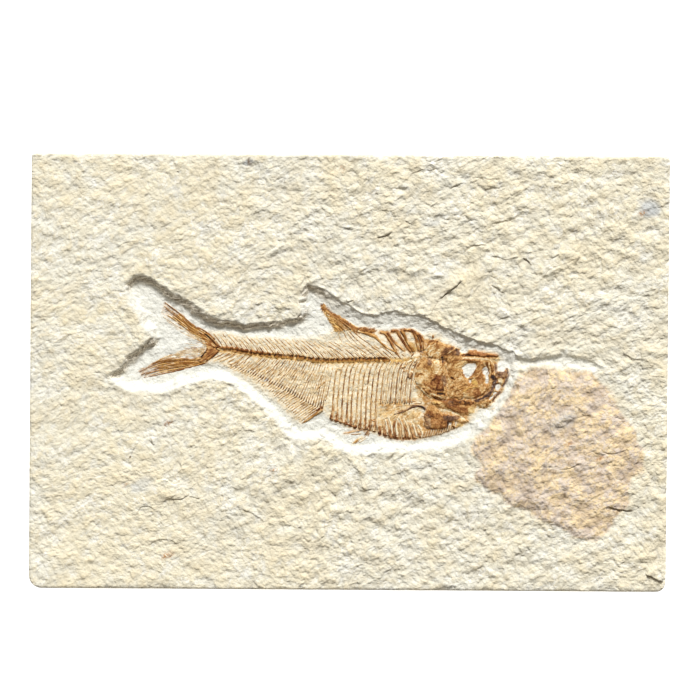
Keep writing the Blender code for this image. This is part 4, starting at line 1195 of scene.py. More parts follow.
paleLumps = (
    # middle, half length, half width, turn in degrees, tone
    ((20.1, 8.7), 0.35, 0.36, 80, 0.34), ((14.7, -0.5), 0.9, 0.55, 70, 0.04),
    ((12.8, 1.3), 0.7, 0.42, 10, 0.10), ((14.4, 2.6), 0.6, 0.35, 30, 0.06),
    ((15.9, 3.0), 0.5, 0.32, 60, 0.05), ((13.4, 0.4), 0.5, 0.26, 0, 0.34),
    ((16.4, 0.9), 0.5, 0.36, 40, 0.08), ((16.0, -1.9), 0.7, 0.36, -60, 0.10),
    ((13.4, 2.2), 0.4, 0.26, 70, 0.22), ((15.4, 1.9), 0.4, 0.24, -30, 0.30),
    ((11.6, 2.3), 0.4, 0.24, 20, 0.26), ((17.2, 4.2), 0.5, 0.28, 80, 0.20),
    ((15.2, 4.4), 0.5, 0.24, 60, 0.12),
)

stoneInHead = (
    ((27.0, 1.2), (28.0, 1.9), (29.2, 2.2), (30.3, 2.0), (30.5, 1.2), (29.9, 0.2), (29.1, -0.9),
      (28.2, -1.5), (27.5, -0.7), (27.2, 0.4)),
    ((28.6, -1.6), (29.4, -1.6), (29.4, -2.4), (28.7, -2.5)),
    ((31.9, 0.9), (32.9, 1.4), (33.6, 0.3), (33.4, -0.8), (33.3, -2.6), (32.6, -2.4), (32.6, -1.0),
      (32.0, -0.3)),
    ((35.6, 2.5), (38.2, 2.8), (38.6, 1.5), (37.7, 1.0), (37.2, 0.3), (35.7, 0.3)),
    ((35.2, -2.8), (36.3, -2.9), (36.1, -4.4), (35.0, -4.2)),
    ((23.8, -12.1), (24.5, -12.2), (24.4, -13.5), (23.9, -13.5)),
    ((25.0, -11.9), (25.8, -11.9), (25.8, -12.9), (25.2, -12.8)),
    ((26.7, 4.7), (28.2, 5.0), (28.2, 6.4), (26.9, 5.8)),
    ((34.9, -4.6), (35.7, -4.9), (34.6, -5.6), (34.0, -6.6), (33.4, -6.2), (34.3, -5.3)),
)


def paintFish(paint):
    # films of skin and thin bone first, then the lines
    paint.area(fish["bodyOutline"], 0.05, cover=0.62, soft=1.6)
    paint.area(analFilm, 0.12, cover=0.45, soft=1.4)
    paint.area(ribFilm, 0.04, cover=0.55, soft=1.0)
    paint.area(bellyFilm, 0.26, cover=0.6, soft=1.4, tint={"ochre": 0.15})
    for side, taper in (("upper", 0.6), ("lower", 0.7)):
        for points in spineStrokes(side):
            paint.stroke(points, 0.30, 0.26, cover=0.5, soft=0.35, taper=taper)
    rays, props = analStrokes()
    for points in props:
        paint.stroke(points, 0.22, 0.30, cover=0.4, soft=0.3, taper=0.6)
    for points in rays:
        paint.stroke(points, 0.26, 0.32, cover=0.55, soft=0.3, taper=0.7, tint={"ochre": 0.1})
    for points in ribStrokes():
        paint.stroke(points, 0.40, 0.26, cover=0.6, soft=0.4)
    for points, width in scuteStrokes():
        paint.stroke(points, 1.8 * width, 0.66, cover=0.85, soft=0.4, taper=0.3, tint=reddish)
    for points, tone in bellyBands:
        paint.stroke(points, 1.0, tone - 0.2, cover=0.7, soft=0.5, taper=0.6, tint={"red": 0.3})
    paint.stroke(pectoralFin["rays"][0], 0.3, 0.42, cover=0.7, soft=0.3, tint=reddish)
    paint.area(pectoralFin["outline"], 0.30, cover=0.55, soft=0.9, tint={"red": 0.2})
    for points, tone, tint in pelvicFin["streaks"]:
        paint.stroke(points, 0.7, tone, cover=0.7, soft=0.6, taper=0.8, tint=tint)
    paint.stroke(backLine - (0, 0.55), 1.5, 0.30, cover=0.8, soft=0.7, tint={"ochre": 0.7}, bend=False)
    for side in ("upper", "lower"):
        lobe = tail[side]
        film = lobe["edge"][:tail["film"]] + lobe["inner"][tail["film"] - 1::-1]
        paint.area(film, 0.42, cover=0.72, soft=0.6, tint=ochre)
        for i, (points, share, weak) in enumerate(tailStrokes(side)):
            tone = 0.20 if weak else tail["strongTones"][i % len(tail["strongTones"])]
            cover = 0.15 if weak else 0.7
            paint.stroke(points, 0.2, tone, cover=cover, taper=0.5, tint={"ochre": 0.7})
    paint.area(tail["base"], 0.62, cover=0.9, soft=0.6, tint=reddish)
    paint.stroke(tail["redStreak"], 0.7, 0.45, cover=0.7, soft=0.4, tint={"red": 0.7})
    paint.area(dorsalFin["blade"], 0.34, cover=0.8, soft=0.5, tint={"ochre": 0.4})
    paint.area(dorsalFin["tipPatch"], 0.54, cover=0.85, soft=0.5, tint=reddish)
    paint.area(dorsalFin["yellow"], 0.26, cover=0.8, soft=0.5, tint=ochre)
    paint.area(dorsalFin["wedge"], 0.46, cover=0.8, soft=0.4, tint=amber)
    paint.stroke(dorsalFin["band"], 1.15, 0.62, cover=0.9, soft=0.4, rise=0.03, taper=1.1)
    paint.stroke(dorsalFin["gap"], 0.30, 0.06, cover=0.8, soft=0.25, rise=-0.04)
    paint.area(dorsalFin["bare"], 0.06, cover=0.8, soft=0.4, rise=-0.04)
    paint.area(dorsalFin["mass"], 0.68, cover=0.9, soft=0.4, rise=0.04)
    for points in predorsal:
        paint.stroke(points, 1.1, 0.40, cover=0.7, soft=0.5, tint=reddish, taper=0.8)
    paint.stroke(predorsalHeads, 0.6, 0.55, cover=0.75, soft=0.4, tint=reddish)
    paint.area(predorsalFilm, 0.36, cover=0.8, soft=0.7, tint=ochre)
    paintHead(paint)


def paintHead(paint):
    paint.area(fish["headOutline"], 0.42, cover=0.88, soft=0.9)
    shards = shardStrokes()
    for points, width, tone, rise in shards[::2]:
        paint.stroke(points, width, tone, cover=0.75, soft=0.2, rise=rise, taper=0.4)
    for points, tone, rise, tint in headPatches:
        paint.area(points, tone, cover=0.85, soft=0.4, rise=rise, tint=tint)
    for points, width, tone, rise in shards[1::2]:
        paint.stroke(points, 0.8 * width, tone, cover=0.6, soft=0.16, rise=rise, taper=0.4)
    for points in stoneInHead:
        paint.wipe(points, soft=0.45, rise=-0.1)
    for points, width, tone, rise, tint in headStrokes:
        paint.stroke(points, width, tone, soft=0.26, rise=rise, tint=tint, taper=0.8)


def cutDistance(places):
    ragged = wobble(wobble(places, 2.6, 11.0, recess["raggedness"]), 0.9, 17.0, 0.6 * recess["raggedness"])
    return insideDistance(ragged, recess["rim"], 3)


def roundCorners(places):
    # moves the points of a rectangular grid so that its edge follows the slab's rounded outline
    corners = np.array(slab["corners"])
    signs = ((-1, 1), (1, 1), (1, -1), (-1, -1))
    share = (places + 1) / 2
    u, v = share[:, :1], share[:, 1:]
    spots = (corners[3] * (1 - u) + corners[2] * u) * (1 - v) + (corners[0] * (1 - u) + corners[1] * u) * v
    for corner, radius, sign in zip(corners, slab["cornerRadii"], signs):
        inward = np.array(sign) * -1.0
        a = 1 - (spots[:, 0] - corner[0]) * inward[0] / radius
        b = 1 - (spots[:, 1] - corner[1]) * inward[1] / radius
        pick = (a > 0) & (b > 0)
        a, b = np.clip(a[pick], 0, 1), np.clip(b[pick], 0, 1)
        spots[pick, 0] = corner[0] + (1 - a * np.sqrt(1 - b * b / 2)) * radius * inward[0]
        spots[pick, 1] = corner[1] + (1 - b * np.sqrt(1 - a * a / 2)) * radius * inward[1]
    return spots


def selectFaces(mesh, chosen):
    mesh.polygons.foreach_set("select", chosen)
    mesh.edges.foreach_set("select", np.zeros(len(mesh.edges), bool))
    mesh.vertices.foreach_set("select", np.zeros(len(mesh.vertices), bool))


def faceMiddles(mesh):
    values = np.empty(len(mesh.polygons) * 3)
    mesh.polygons.foreach_get("center", values)
    return values.reshape(-1, 3) / mm


def editMode(work, select="FACE"):
    # runs work in edit mode with that kind of element chosen
    bpy.ops.object.mode_set(mode="EDIT")
    bpy.ops.mesh.select_mode(type=select)
    work()
    bpy.ops.object.mode_set(mode="OBJECT")


def subdivide(mesh, chosen):
    selectFaces(mesh, chosen)
    editMode(lambda: bpy.ops.mesh.subdivide(number_cuts=1))


def makeSlab():
    across, along = slab["cells"]
    bpy.ops.mesh.primitive_grid_add(x_subdivisions=across, y_subdivisions=along, size=2.0)
    piece = bpy.context.object
    piece.name = "limestoneSlab"
    mesh = piece.data
    spots = roundCorners(readPlaces(mesh)[:, :2] * mm)
    writePlaces(mesh, np.column_stack([spots, np.full(len(spots), slab["thickness"])]))

    # finer in the recess and the groove and along the breaks
    middles = faceMiddles(mesh)[:, :2]
    near = insideDistance(middles, recess["rim"]) > -slab["fineMargin"]
    near |= insideDistance(middles, groove["rim"]) > -1.2
    near |= breakDistance(middles) < 0.9
    subdivide(mesh, near)
    # and finer again at the breaks themselves and at the rim over the back
    middles = faceMiddles(mesh)[:, :2]
    overBack = (middles[:, 0] > -13) & (middles[:, 1] > 3)
    atRim = np.abs(cutDistance(middles) - 0.1) < 0.4
    subdivide(mesh, (breakDistance(middles) < 0.32) | overBack & atRim)

    # the edge of the sheet goes down in rings to the underside
    topCount = len(mesh.vertices)
    loops = np.empty(len(mesh.loops), int)
    mesh.loops.foreach_get("edge_index", loops)
    selectFaces(mesh, np.zeros(len(mesh.polygons), bool))
    mesh.edges.foreach_set("select", np.bincount(loops, minlength=len(mesh.edges)) == 1)

    def skirt():
        step = slab["thickness"] / slab["sideRings"] * mm
        for _ in range(slab["sideRings"]):
            bpy.ops.mesh.extrude_edges_move(TRANSFORM_OT_translate={"value": (0, 0, -step)})
        bpy.ops.mesh.edge_face_add()
        bpy.ops.mesh.select_all(action="SELECT")
        bpy.ops.mesh.normals_make_consistent(inside=False)

    editMode(skirt, "EDGE")
    shapeSlab(mesh, topCount)
    bpy.ops.object.shade_smooth()
    return piece


def stoneSurface(top):
    # the split face with the raised patch and the breaks: its height, its flakes, the painted shadow in the
    # gaps at the breaks, and how far inside the raised patch each place lies
    faceHeight, relief = splitFace(top)
    moundGap = insideDistance(wobble(wobble(top, 4.0, 41.0, 1.6), 1.2, 43.0, 0.7), mound["rim"])
    lowerLeft = easeStep((-0.6 * (top[:, 0] - 50) - 0.8 * (top[:, 1] + 20)) / 12)
    wide, short = mound["shoulders"]
    rise = easeStep(moundGap / (wide + (short - wide) * lowerLeft))
    wave, grit = mound["grit"]
    step, gap = breakRelief(top)
    height = faceHeight + mound["height"] * rise + relief + grit * patchy(top, wave, wave, 51.0) * rise + step
    return height, relief, gap, moundGap


def wallProfile(top, cut):
    # how far down the wall each place lies, 0 to 1, which way the wall faces, and where it runs out slowly
    ahead = cutDistance(top + np.array((0.0, 0.4)))
    facing = np.clip((ahead - cut) / 0.4, -1, 1)
    shadeRun = np.interp(top[:, 0], *recess["shadeWallRun"])
    middleRun = (recess["sunWallRun"] + shadeRun) / 2
    run = middleRun + (recess["sunWallRun"] - middleRun) * facing
    run *= 1 + 0.25 * patchy(top, 2.4, 2.4, 69.0)
    # over the tail the wall is steep all the way, over the head it is a small step that runs out slowly
    slow = easeStep((top[:, 0] + 9) / 9) * easeStep(-2 * facing)
    share = np.clip(cut / run, 0, 1)
    steep = easeStep(share) ** np.where(facing < 0, 0.85, 1.0)
    lipShare, lipRun = recess["lip"]
    lip = lipShare * easeStep(-3 * facing)
    steep = lip * easeStep(cut / lipRun) + (1 - lip) * steep
    stepShare, stepRun = recess["rimStep"]
    gentle = stepShare * easeStep(cut / stepRun) + (1 - stepShare) * (1 - (1 - share) ** 1.25)
    return (1 - slow) * steep + slow * gentle, facing, slow


def wallRelief(top, cut, into, facing, slow):
    # the broken face of the wall, and the shelf on it
    broken = np.array([
        noise.noise((x / 2.4, y / 2.4, 3.2 * depth)) + 0.6 * noise.noise((x / 0.9, y / 0.9, 4 * depth))
        for (x, y), depth in zip(top.tolist(), into.tolist())])
    broken *= recess["wallRoughness"] * 4 * into * (1 - into) * (1 - 0.65 * slow)
    shelf = np.interp(top[:, 0], *recess["ledge"]) * easeStep(0.5 + 2 * patchy(top, 1.9, 1.9, 66.0))
    shelf *= easeStep((cut - 0.9) / 0.5) * easeStep((2.9 - cut) / 0.7) * easeStep(-2 * facing)
    return broken + shelf


def recessFloor(top, paint):
    scratches = patchy(top, 1.6, 0.5, 61.0) + 0.7 * patchy(top, 0.8, 0.8, 63.0)
    swell = patchy(top, 3.4, 2.2, 64.0) * (1 - easeStep((signedDistance(top, bodyOutline) + 2) / 2))
    height = bedHeight(top) + recess["floorRoughness"] * scratches * (1 - 0.6 * paint.cover) + paint.rise
    return height + recess["floorSwell"] * swell


def gougeMarks(top):
    # strokes of a chisel on the wall under the tail, which fade to one end
    halfWidth, _ = recess["gougeShape"]
    scored = np.zeros(len(top))
    for gouge in recess["gouges"]:
        far, share = lineDistance(top, np.array(gouge))
        scored = np.maximum(scored, easeStep(1 - far / halfWidth) * easeStep(1.6 - share))
    return scored


def shapeSides(below):
    # the points of the sides, ring by ring, and the underside
    low = below[:, 2].copy()
    onSide = low > 0.02 * slab["thickness"]
    laid = lumps(below[:, 0] / 9 + below[:, 1] / 9, low / 0.9, 81.0)
    chips = lumps(below[:, 0] / 1.7, below[:, 1] / 1.7 + low / 1.2, 83.0)
    amount = slab["sideRoughness"] * (0.5 + 0.5 * laid + 0.35 * chips) * onSide
    for axis, reach in enumerate(slab["sideFrom"]):
        beyond = np.abs(below[:, axis]) > reach
        below[:, axis] -= np.sign(below[:, axis]) * beyond * amount
    below[:, 2] = np.where(onSide, low * 0.985, 0.0)


def shapeSlab(mesh, topCount):
    places = readPlaces(mesh)
    top = places[:topCount, :2].copy()
    surface, relief, gap, moundGap = stoneSurface(top)
    cut = cutDistance(top)
    into, facing, slow = wallProfile(top, cut)
    paint = Paint(top)
    paintFish(paint)
    scored = gougeMarks(top)
    height = surface * (1 - into) + recessFloor(top, paint) * into + wallRelief(top, cut, into, facing, slow)
    height -= recess["gougeShape"][1] * scored
    channel = easeStep(insideDistance(top, groove["rim"], 3) / groove["wallRun"])
    channelFloor = np.minimum(groove["floor"] + 0.6 * relief, height)
    height = height * (1 - channel) + channelFloor * channel
    limit, more = slab["highest"]
    height = np.where(height > limit, limit + more * np.tanh((height - limit) / more), height)
    # the sawn edge is a little broken all round
    inward = np.maximum(signedDistance(top, np.array(slab["corners"])), 0)
    uneven = 0.6 + 0.4 * patchy(top, 2.2, 2.2, 71.0)
    places[:topCount, 2] = height - slab["edgeDrop"] * uneven * (1 - easeStep(inward / slab["edgeWear"]))
    shapeSides(places[topCount:])
    writePlaces(mesh, places)

    onFloor = easeStep(cut / 0.8)
    looks = {
        "cut": np.maximum(easeStep(cut + 0.3), 0.8 * channel * easeStep((top[:, 0] - 40) / 4)),
        "stain": easeStep(moundGap / 1.6 + 0.5) * (1 - easeStep((cut + 0.7) / 0.8)),
        "cover": paint.cover * onFloor,
        "tone": paint.tone,
        **{name: share * onFloor for name, share in paint.tints.items()},
        # painted shade where the split face lies low between its flakes
        "hollow": easeStep(-relief / 0.16 - 0.15) * (1 - into),
        "rough": 0.8 + 0.2 * roughness(top),
        "paleMark": np.maximum(0.8 * markCover(top, "grey", 24.0), 0.45 * markCover(top, "faint", 28.0)),
        "rust": markCover(top, "rust", 25.0),
        "depth": into,
        # painted shadow in the creases at the breaks, and small dark dots, off the walls
        "crack": np.maximum(gap, markCover(top, "dots", 26.0)) * (1 - into),
        # painted shade on the walls that face down the picture, away from the sun, less where they run out
        # slowly, and in the chisel gouges
        "wall": np.maximum(4 * into * (1 - into) * easeStep(0.5 - 0.5 * facing) * (1 - 0.78 * slow), scored),
    }
    for name, values in looks.items():
        setAttribute(mesh, name, np.concatenate([values, np.zeros(len(places) - topCount)]))
    setAttribute(mesh, "side", np.arange(len(places)) >= topCount)


def deleteFaces(mesh, chosen):
    selectFaces(mesh, chosen)
    editMode(lambda: bpy.ops.mesh.delete(type="FACE"))


def rod(points, radius, tone, taper=0.6, tipTone=None, tint=plain, lift=0.05, broken=0.0, flat=0.6,
        reach=1.0):
    # a thin bone along a smooth line, and its looks at each point of the line
    line = smoothLine(points)
    line = line[:max(2, math.ceil(len(line) * reach))]
    share = np.linspace(0.0, 1.0, len(line))
    tipTone = tone if tipTone is None else tipTone
    own = 9.0 * (line[0, 0] + 1.7 * line[0, 1])     # so that no two bones are mottled and broken alike
    missing = np.maximum(patchy(line, 0.9, 0.9, 93.0 + own) - 0.04, 0)
    mottle = 0.5 * patchy(line, 1.3, 1.3, 95.0 + own)
    return {
        "line": line,
        "radius": radius * (1 + (taper - 1) * share),
        "lift": lift - broken * missing,
        "tone": tone + (tipTone - tone) * share + mottle,
        "flat": np.full(len(line), flat),
        **{name: tint.get(name, 0.0) * np.clip(0.6 + 3 * mottle, 0, 1) for name in tints},
    }


def makeRods(name, rods, roundness=0):
    curve = bpy.data.curves.new(name, "CURVE")
    curve.dimensions = "3D"
    curve.bevel_depth = mm
    curve.bevel_resolution = roundness
    curve.use_fill_caps = True
    every = {key: np.concatenate([one[key] for one in rods]) for key in rods[0]}
    lines = every["line"]
    heights = bedHeight(lines) + every["lift"]
    done = 0
    for one in rods:
        spline = curve.splines.new("POLY")
        spline.points.add(len(one["line"]) - 1)
        for point, (x, y), height, radius in zip(spline.points, one["line"], heights[done:], one["radius"]):
            point.co = (x * mm, y * mm, height * mm, 1.0)
            point.radius = radius * (1 + 0.45 * noise.noise((x / 0.9, y / 0.9, 77.0)))
        done += len(one["line"])
    piece = bpy.data.objects.new(name, curve)
    bpy.context.collection.objects.link(piece)
    bpy.ops.object.select_all(action="DESELECT")
    piece.select_set(True)
    bpy.context.view_layer.objects.active = piece
    bpy.ops.object.convert(target="MESH")
    mesh = piece.data

    def weld():
        bpy.ops.mesh.select_all(action="SELECT")
        bpy.ops.mesh.remove_doubles(threshold=0.002 * mm)
        bpy.ops.mesh.normals_make_consistent(inside=False)

    editMode(weld, "VERT")

    # each vertex looks as the nearest point of its rod's line does
    places = readPlaces(mesh)
    tree = kdtree.KDTree(done)
    for i, (x, y) in enumerate(lines):
        tree.insert((x, y, heights[i]), i)
    tree.balance()
    nearest = np.array([tree.find(place)[1] for place in places])
    for key in ("tone", *tints):
        setAttribute(mesh, key, every[key][nearest])
    places[:, 2] = heights[nearest] + (places[:, 2] - heights[nearest]) * every["flat"][nearest]
    places += 0.04 * np.array([noise.noise_vector(place / 0.8) for place in places])
    writePlaces(mesh, places)
    bpy.ops.object.shade_smooth()
    return piece


def splinters(places, size, seed):
    # each splinter of a crushed bone lies at its own height, with a groove round it
    height = np.empty(len(places))
    for i, (x, y) in enumerate((wobble(places, 0.9, seed, 0.25) / size).tolist()):
        gaps, spots = noise.voronoi((x, y, seed))
        groove = max(0.0, 1 - (gaps[1] - gaps[0]) / 0.22)
        height[i] = 1.4 * noise.noise(spots[0] * 2.3) - 0.7 * groove
    return height


def makeSheet(name, outline, cell=0.14, thickness=0.3, crushed=1.0, holes=(), seed=91.0, ragged=0.35):
    # a crushed plate of bone that lies on the stone
    shape = smoothLine(outline, 3, closed=True)
    low, high = shape.min(axis=0) - 0.6, shape.max(axis=0) + 0.6
    across, along = np.ceil((high - low) / cell).astype(int)
    bpy.ops.mesh.primitive_grid_add(x_subdivisions=int(across), y_subdivisions=int(along), size=2.0)
    piece = bpy.context.object
    piece.name = name
    mesh = piece.data
    spots = low + (high - low) * (readPlaces(mesh)[:, :2] * mm + 1) / 2
    writePlaces(mesh, np.column_stack([spots, np.zeros(len(spots))]))

    def insideGap(places):
        moved = wobble(wobble(places, 1.3, seed, ragged), 0.5, seed + 5, 0.5 * ragged)
        gap = signedDistance(moved, shape)
        for hole in holes:
            gap = np.minimum(gap, -insideDistance(moved, hole, 3))
        return gap

    deleteFaces(mesh, insideGap(faceMiddles(mesh)[:, :2]) < 0)
    top = readPlaces(mesh)[:, :2]
    gap = insideGap(top)
    crags = 1 - 2.4 * np.abs(patchy(top, 1.6, 1.2, seed + 9))
    pits = patchy(top, 0.5, 0.45, seed + 13)
    paint = Paint(top)
    paintFish(paint)
    height = bedHeight(top) + thickness * (0.2 + 0.8 * easeStep(gap / 0.7))
    height += crushed * (0.06 * splinters(top, 1.3, seed) + 0.05 * crags) + 0.04 * pits + paint.rise
    writePlaces(mesh, np.column_stack([top, height]))
    setAttribute(mesh, "tone", paint.tone)
    for name, share in paint.tints.items():
        setAttribute(mesh, name, share)
    setAttribute(mesh, "crushed", np.full(len(top), crushed))

    def thicken():
        bpy.ops.mesh.select_all(action="SELECT")
        bpy.ops.mesh.extrude_region_move(TRANSFORM_OT_translate={"value": (0, 0, -(thickness + 0.35) * mm)})
        bpy.ops.mesh.select_all(action="SELECT")
        bpy.ops.mesh.normals_make_consistent(inside=False)

    editMode(thicken)
    bpy.ops.object.shade_smooth()
    return piece


def joined(name, *pieces):
    bpy.ops.object.select_all(action="DESELECT")
    for piece in pieces:
        piece.select_set(True)
    bpy.context.view_layer.objects.active = pieces[0]
    bpy.ops.object.join()
    pieces[0].name = name
    return pieces[0]


vertebrae = {
    "pitch": 1.23,
    "span": (-31.0, 16.5),
    "below": 0.66,          # how far under the dark top line their middles run
    "radius": 0.66,
    "waist": 0.80,
    "lift": -0.34,
    # the dark crust on their upper side: places along the back, and its radius there
    "crustSpan": (-33, -28, -21, -16, 6, 8, 9.5),
    "crustRadius": (0.16, 0.30, 0.26, 0.12, 0.11, 0.20, 0.14),
}


def vertebraRods():
    first, last = vertebrae["span"]
    steps = 6
    count = int((last - first) / vertebrae["pitch"])
    x = first + vertebrae["pitch"] * np.arange(count * steps + 1) / steps
    # 1 at a joint, 0 in the middle of a vertebra
    joints = np.abs(np.cos(np.pi * np.arange(len(x)) / steps)) ** 3
    fade = np.interp(x, (first, first + 6, 9, last), (0.7, 1.0, 1.0, 0.6))
    mottle = lumps(x / 0.5, x * 0, 3.0)
    spool = {
        "line": np.column_stack([x, backHeight(x) - vertebrae["below"]]),
        "radius": vertebrae["radius"] * fade * (vertebrae["waist"] + (1 - vertebrae["waist"]) * joints),
        "lift": np.full(len(x), vertebrae["lift"]),
        "tone": 0.18 + 0.34 * joints + 0.5 * mottle,
        "ochre": np.clip(0.8 + 2 * mottle, 0, 1),
        "red": np.interp(x, (-26, -20), (0.4, 0.0)),
        "grey": np.zeros(len(x)),
        "flat": np.full(len(x), 0.85),
    }
    x = np.arange(-33.2, 9.6, 0.24)
    jag = lumps(x / 0.6, x * 0, 12.0)
    lumpy = lumps(x / 0.45, x * 0, 15.0)
    scallop = 0.12 * jag + 0.10 * np.cos(2 * np.pi * x / vertebrae["pitch"])
    crust = {
        "line": np.column_stack([x, backHeight(x) + scallop]),
        "radius": np.interp(x, vertebrae["crustSpan"], vertebrae["crustRadius"]) * (1 + lumpy),
        "lift": 0.20 - 0.4 * np.maximum(0, -0.34 - jag),
        "tone": np.interp(x, (-33, -24, -14, 9), (0.68, 0.80, 0.94, 1.0)) + 0.6 * lumpy,
        "ochre": 0.8 * np.clip(0.5 - 3 * lumpy, 0, 1),
        "red": np.interp(x, (-33, -22, -18), (0.5, 0.5, 0.0)),
        "grey": np.zeros(len(x)),
        "flat": np.full(len(x), 0.8),
    }
    return [spool, crust]


tailBase = (
    # the wedge-shaped bones that end the backbone: line, radius, tone, taper, lift, tint
    (((-31.0, 6.0), (-32.2, 6.9), (-33.4, 8.1), (-34.8, 9.4)), 0.24, 0.86, 0.8, 0.2, plain),
    (((-31.6, 5.2), (-33.4, 3.6), (-36.0, 2.5)), 0.36, 0.66, 0.9, 0.12, reddish),
    (((-34.2, 5.6), (-34.9, 4.6), (-35.9, 3.6)), 0.12, 0.92, 0.6, 0.2, plum),
    (((-31.8, 5.7), (-31.1, 5.5)), 0.26, 0.30, 0.6, 0.2, {"ochre": 0.9}),
)


def tailBaseRods():
    rods = []
    tips = smoothLine(((-34.4, 9.2), (-34.6, 7.6), (-34.4, 5.8), (-35.2, 4.2), (-36.2, 2.6)), 3)
    for i, tip in enumerate(tips):
        root = np.array((-32.0, 5.9 - 0.06 * i))
        line = (root, root + (tip - root) * 0.5, tip)
        rods.append(rod(line, 0.20, 0.54 + 0.22 * vary(i, 14.0), taper=1.4, tint={"red": 0.5}, lift=0.06))
    for line, radius, tone, taper, lift, tint in tailBase:
        rods.append(rod(line, radius, tone, taper=taper, lift=lift, tint=tint))
    return rods


def spineRods():
    rods = []
    for i, points in enumerate(spineStrokes("upper")):
        tone = 0.44 + 0.10 * vary(i, 1.0)
        rods.append(rod(points, spines["radius"], tone + 0.12, tipTone=tone - 0.14,
                        tint={"grey": 0.15}, broken=0.35))
        rods.append(rod(shifted(points[:2], 0.55, 0.05), 0.08, 0.08, broken=0.3))
    for i, points in enumerate(spineStrokes("lower")):
        tone = 0.42 + 0.14 * vary(i, 2.0)
        rods.append(rod(points, spines["radius"], tone + 0.06, taper=0.7, tipTone=tone - 0.06,
                        tint={"grey": 0.2}, broken=0.35))
        rods.append(rod(shifted(points, 0.62, 0.1), 0.08, 0.26, taper=0.8, tint={"ochre": 0.3}, broken=0.5))
    return rods


def ribRods():
    rods = []
    for i, points in enumerate(ribStrokes()):
        # the ribs behind the head are finer and stand closer
        far = min(1.0, max(0.0, (i - 7) / 4))
        varied = vary(i * 1.9, 3.0)
        tone = 0.45 + 0.16 * varied - 0.03 * far
        tint = {"grey": 0.4 * max(0.0, varied), "ochre": 0.3 * max(0.0, -varied)}
        rods.append(rod(points, 0.19 - 0.03 * far, tone + 0.10, taper=0.7, tipTone=tone, tint=tint,
                        lift=0.03 + 0.03 * far, broken=0.2))
        rods.append(rod(shifted(points[:5], 0.5, 0.2), 0.15 + 0.05 * far, 0.02, taper=0.7,
                        lift=0.06 * far - 0.02, broken=0.3 - 0.15 * far))
        if i > 9:
            rods.append(rod(shifted(points[:4], 0.6, 0.3), 0.10, 0.40, taper=0.7, tint={"grey": 0.3},
                            lift=0.06, broken=0.3))
    for i, (points, width) in enumerate(scuteStrokes()):
        underHead = points[0][0] > 17
        tone = 0.78 + 0.10 * vary(i, 4.0) + 0.1 * underHead
        rods.append(rod(points, width, tone, taper=0.26, tipTone=0.48, tint=reddish, lift=-0.02, flat=0.42))
        if points[0][0] > 16.8:
            rods.append(rod(shifted(points, 0.3, 0.1), 0.10, 0.06, lift=0.1))
    for points, tone in bellyBands:
        rods.append(rod(points, 0.46, tone + 0.06, taper=0.4, tipTone=tone - 0.18, tint={"red": 0.3},
                        lift=0.0, flat=0.4, broken=0.15))
        rods.append(rod(shifted(points, 0.62, 0.5), 0.28, 0.0, lift=0.04, flat=0.5, broken=0.1))
    edge = bellyLine[2:12:2] + (0.0, 0.12)
    rods.append(rod(edge, 0.16, 0.64, taper=0.9, tint=red, lift=0.04, flat=0.5))
    for (x, y), length, width, turn, tone in paleLumps:
        dx, dy = length * math.cos(math.radians(turn)), length * math.sin(math.radians(turn))
        line = ((x - dx, y - dy), (x, y), (x + dx, y + dy))
        rods.append(rod(line, width, tone, taper=0.8, lift=0.0, flat=0.5))
        rods.append(rod(shifted(line, -0.1, -width), 0.09, 0.6, broken=0.3))
    return rods


analEnd = (
    # the broad bones where the fin starts, near the belly: line, radius, tone, taper, lift, flatness, tint
    (((-6.6, -8.9), (-8.6, -10.4), (-11.3, -12.2)), 0.46, 0.44, 0.4, 0.05, 0.35, {"ochre": 0.6}),
    (((-6.5, -8.3), (-7.2, -8.7), (-7.9, -9.2)), 0.36, 0.74, 0.7, 0.04, 0.6, reddish),
    (((-8.5, -5.0), (-7.5, -3.7), (-5.8, -2.2)), 0.18, 0.40, 0.8, 0.05, 0.6, {"ochre": 0.5}),
)


def analRods():
    rays, props = analStrokes()
    rods = []
    for i, points in enumerate(props):
        tone = 0.32 + 0.12 * vary(i, 6.0)
        rods.append(rod(points, 0.10, tone + 0.12, taper=0.7, tipTone=tone, tint={"grey": 0.15}, broken=0.3))
        # the foot of each prop is a short dark knot on the fin's base
        (x, y), (nextX, nextY) = points[:2]
        foot = ((x, y), (x + 0.28 * (nextX - x), y + 0.28 * (nextY - y)))
        strength = min(1.0, 0.4 + i / 14)
        rods.append(rod(foot, 0.14 * strength, 0.70 + 0.12 * vary(i, 15.0), tint={"grey": 0.2}, lift=0.08))
    for i, points in enumerate(rays):
        tone = 0.38 + 0.16 * vary(i, 5.0)
        strength = min(1.0, 0.5 + i / 30)
        rods.append(rod(points, 0.12 * strength, tone + 0.10, tipTone=tone - 0.08, tint={"ochre": 0.25},
                        reach=0.86 + 0.12 * vary(i, 17.0), broken=0.4))
    for line, radius, tone, taper, lift, flat, tint in analEnd:
        rods.append(rod(line, radius, tone, taper=taper, lift=lift, flat=flat, tint=tint))
    for i in range(4):
        x = -7.4 + 0.55 * i
        line = ((x, -7.8 + 0.3 * i), (x + 0.9, -3.0), (x + 2.0 - 0.1 * i, 1.0))
        rods.append(rod(line, 0.12, 0.40 * (i % 2) + 0.08, taper=0.7, tint={"ochre": 0.2}, broken=0.3))
    return rods


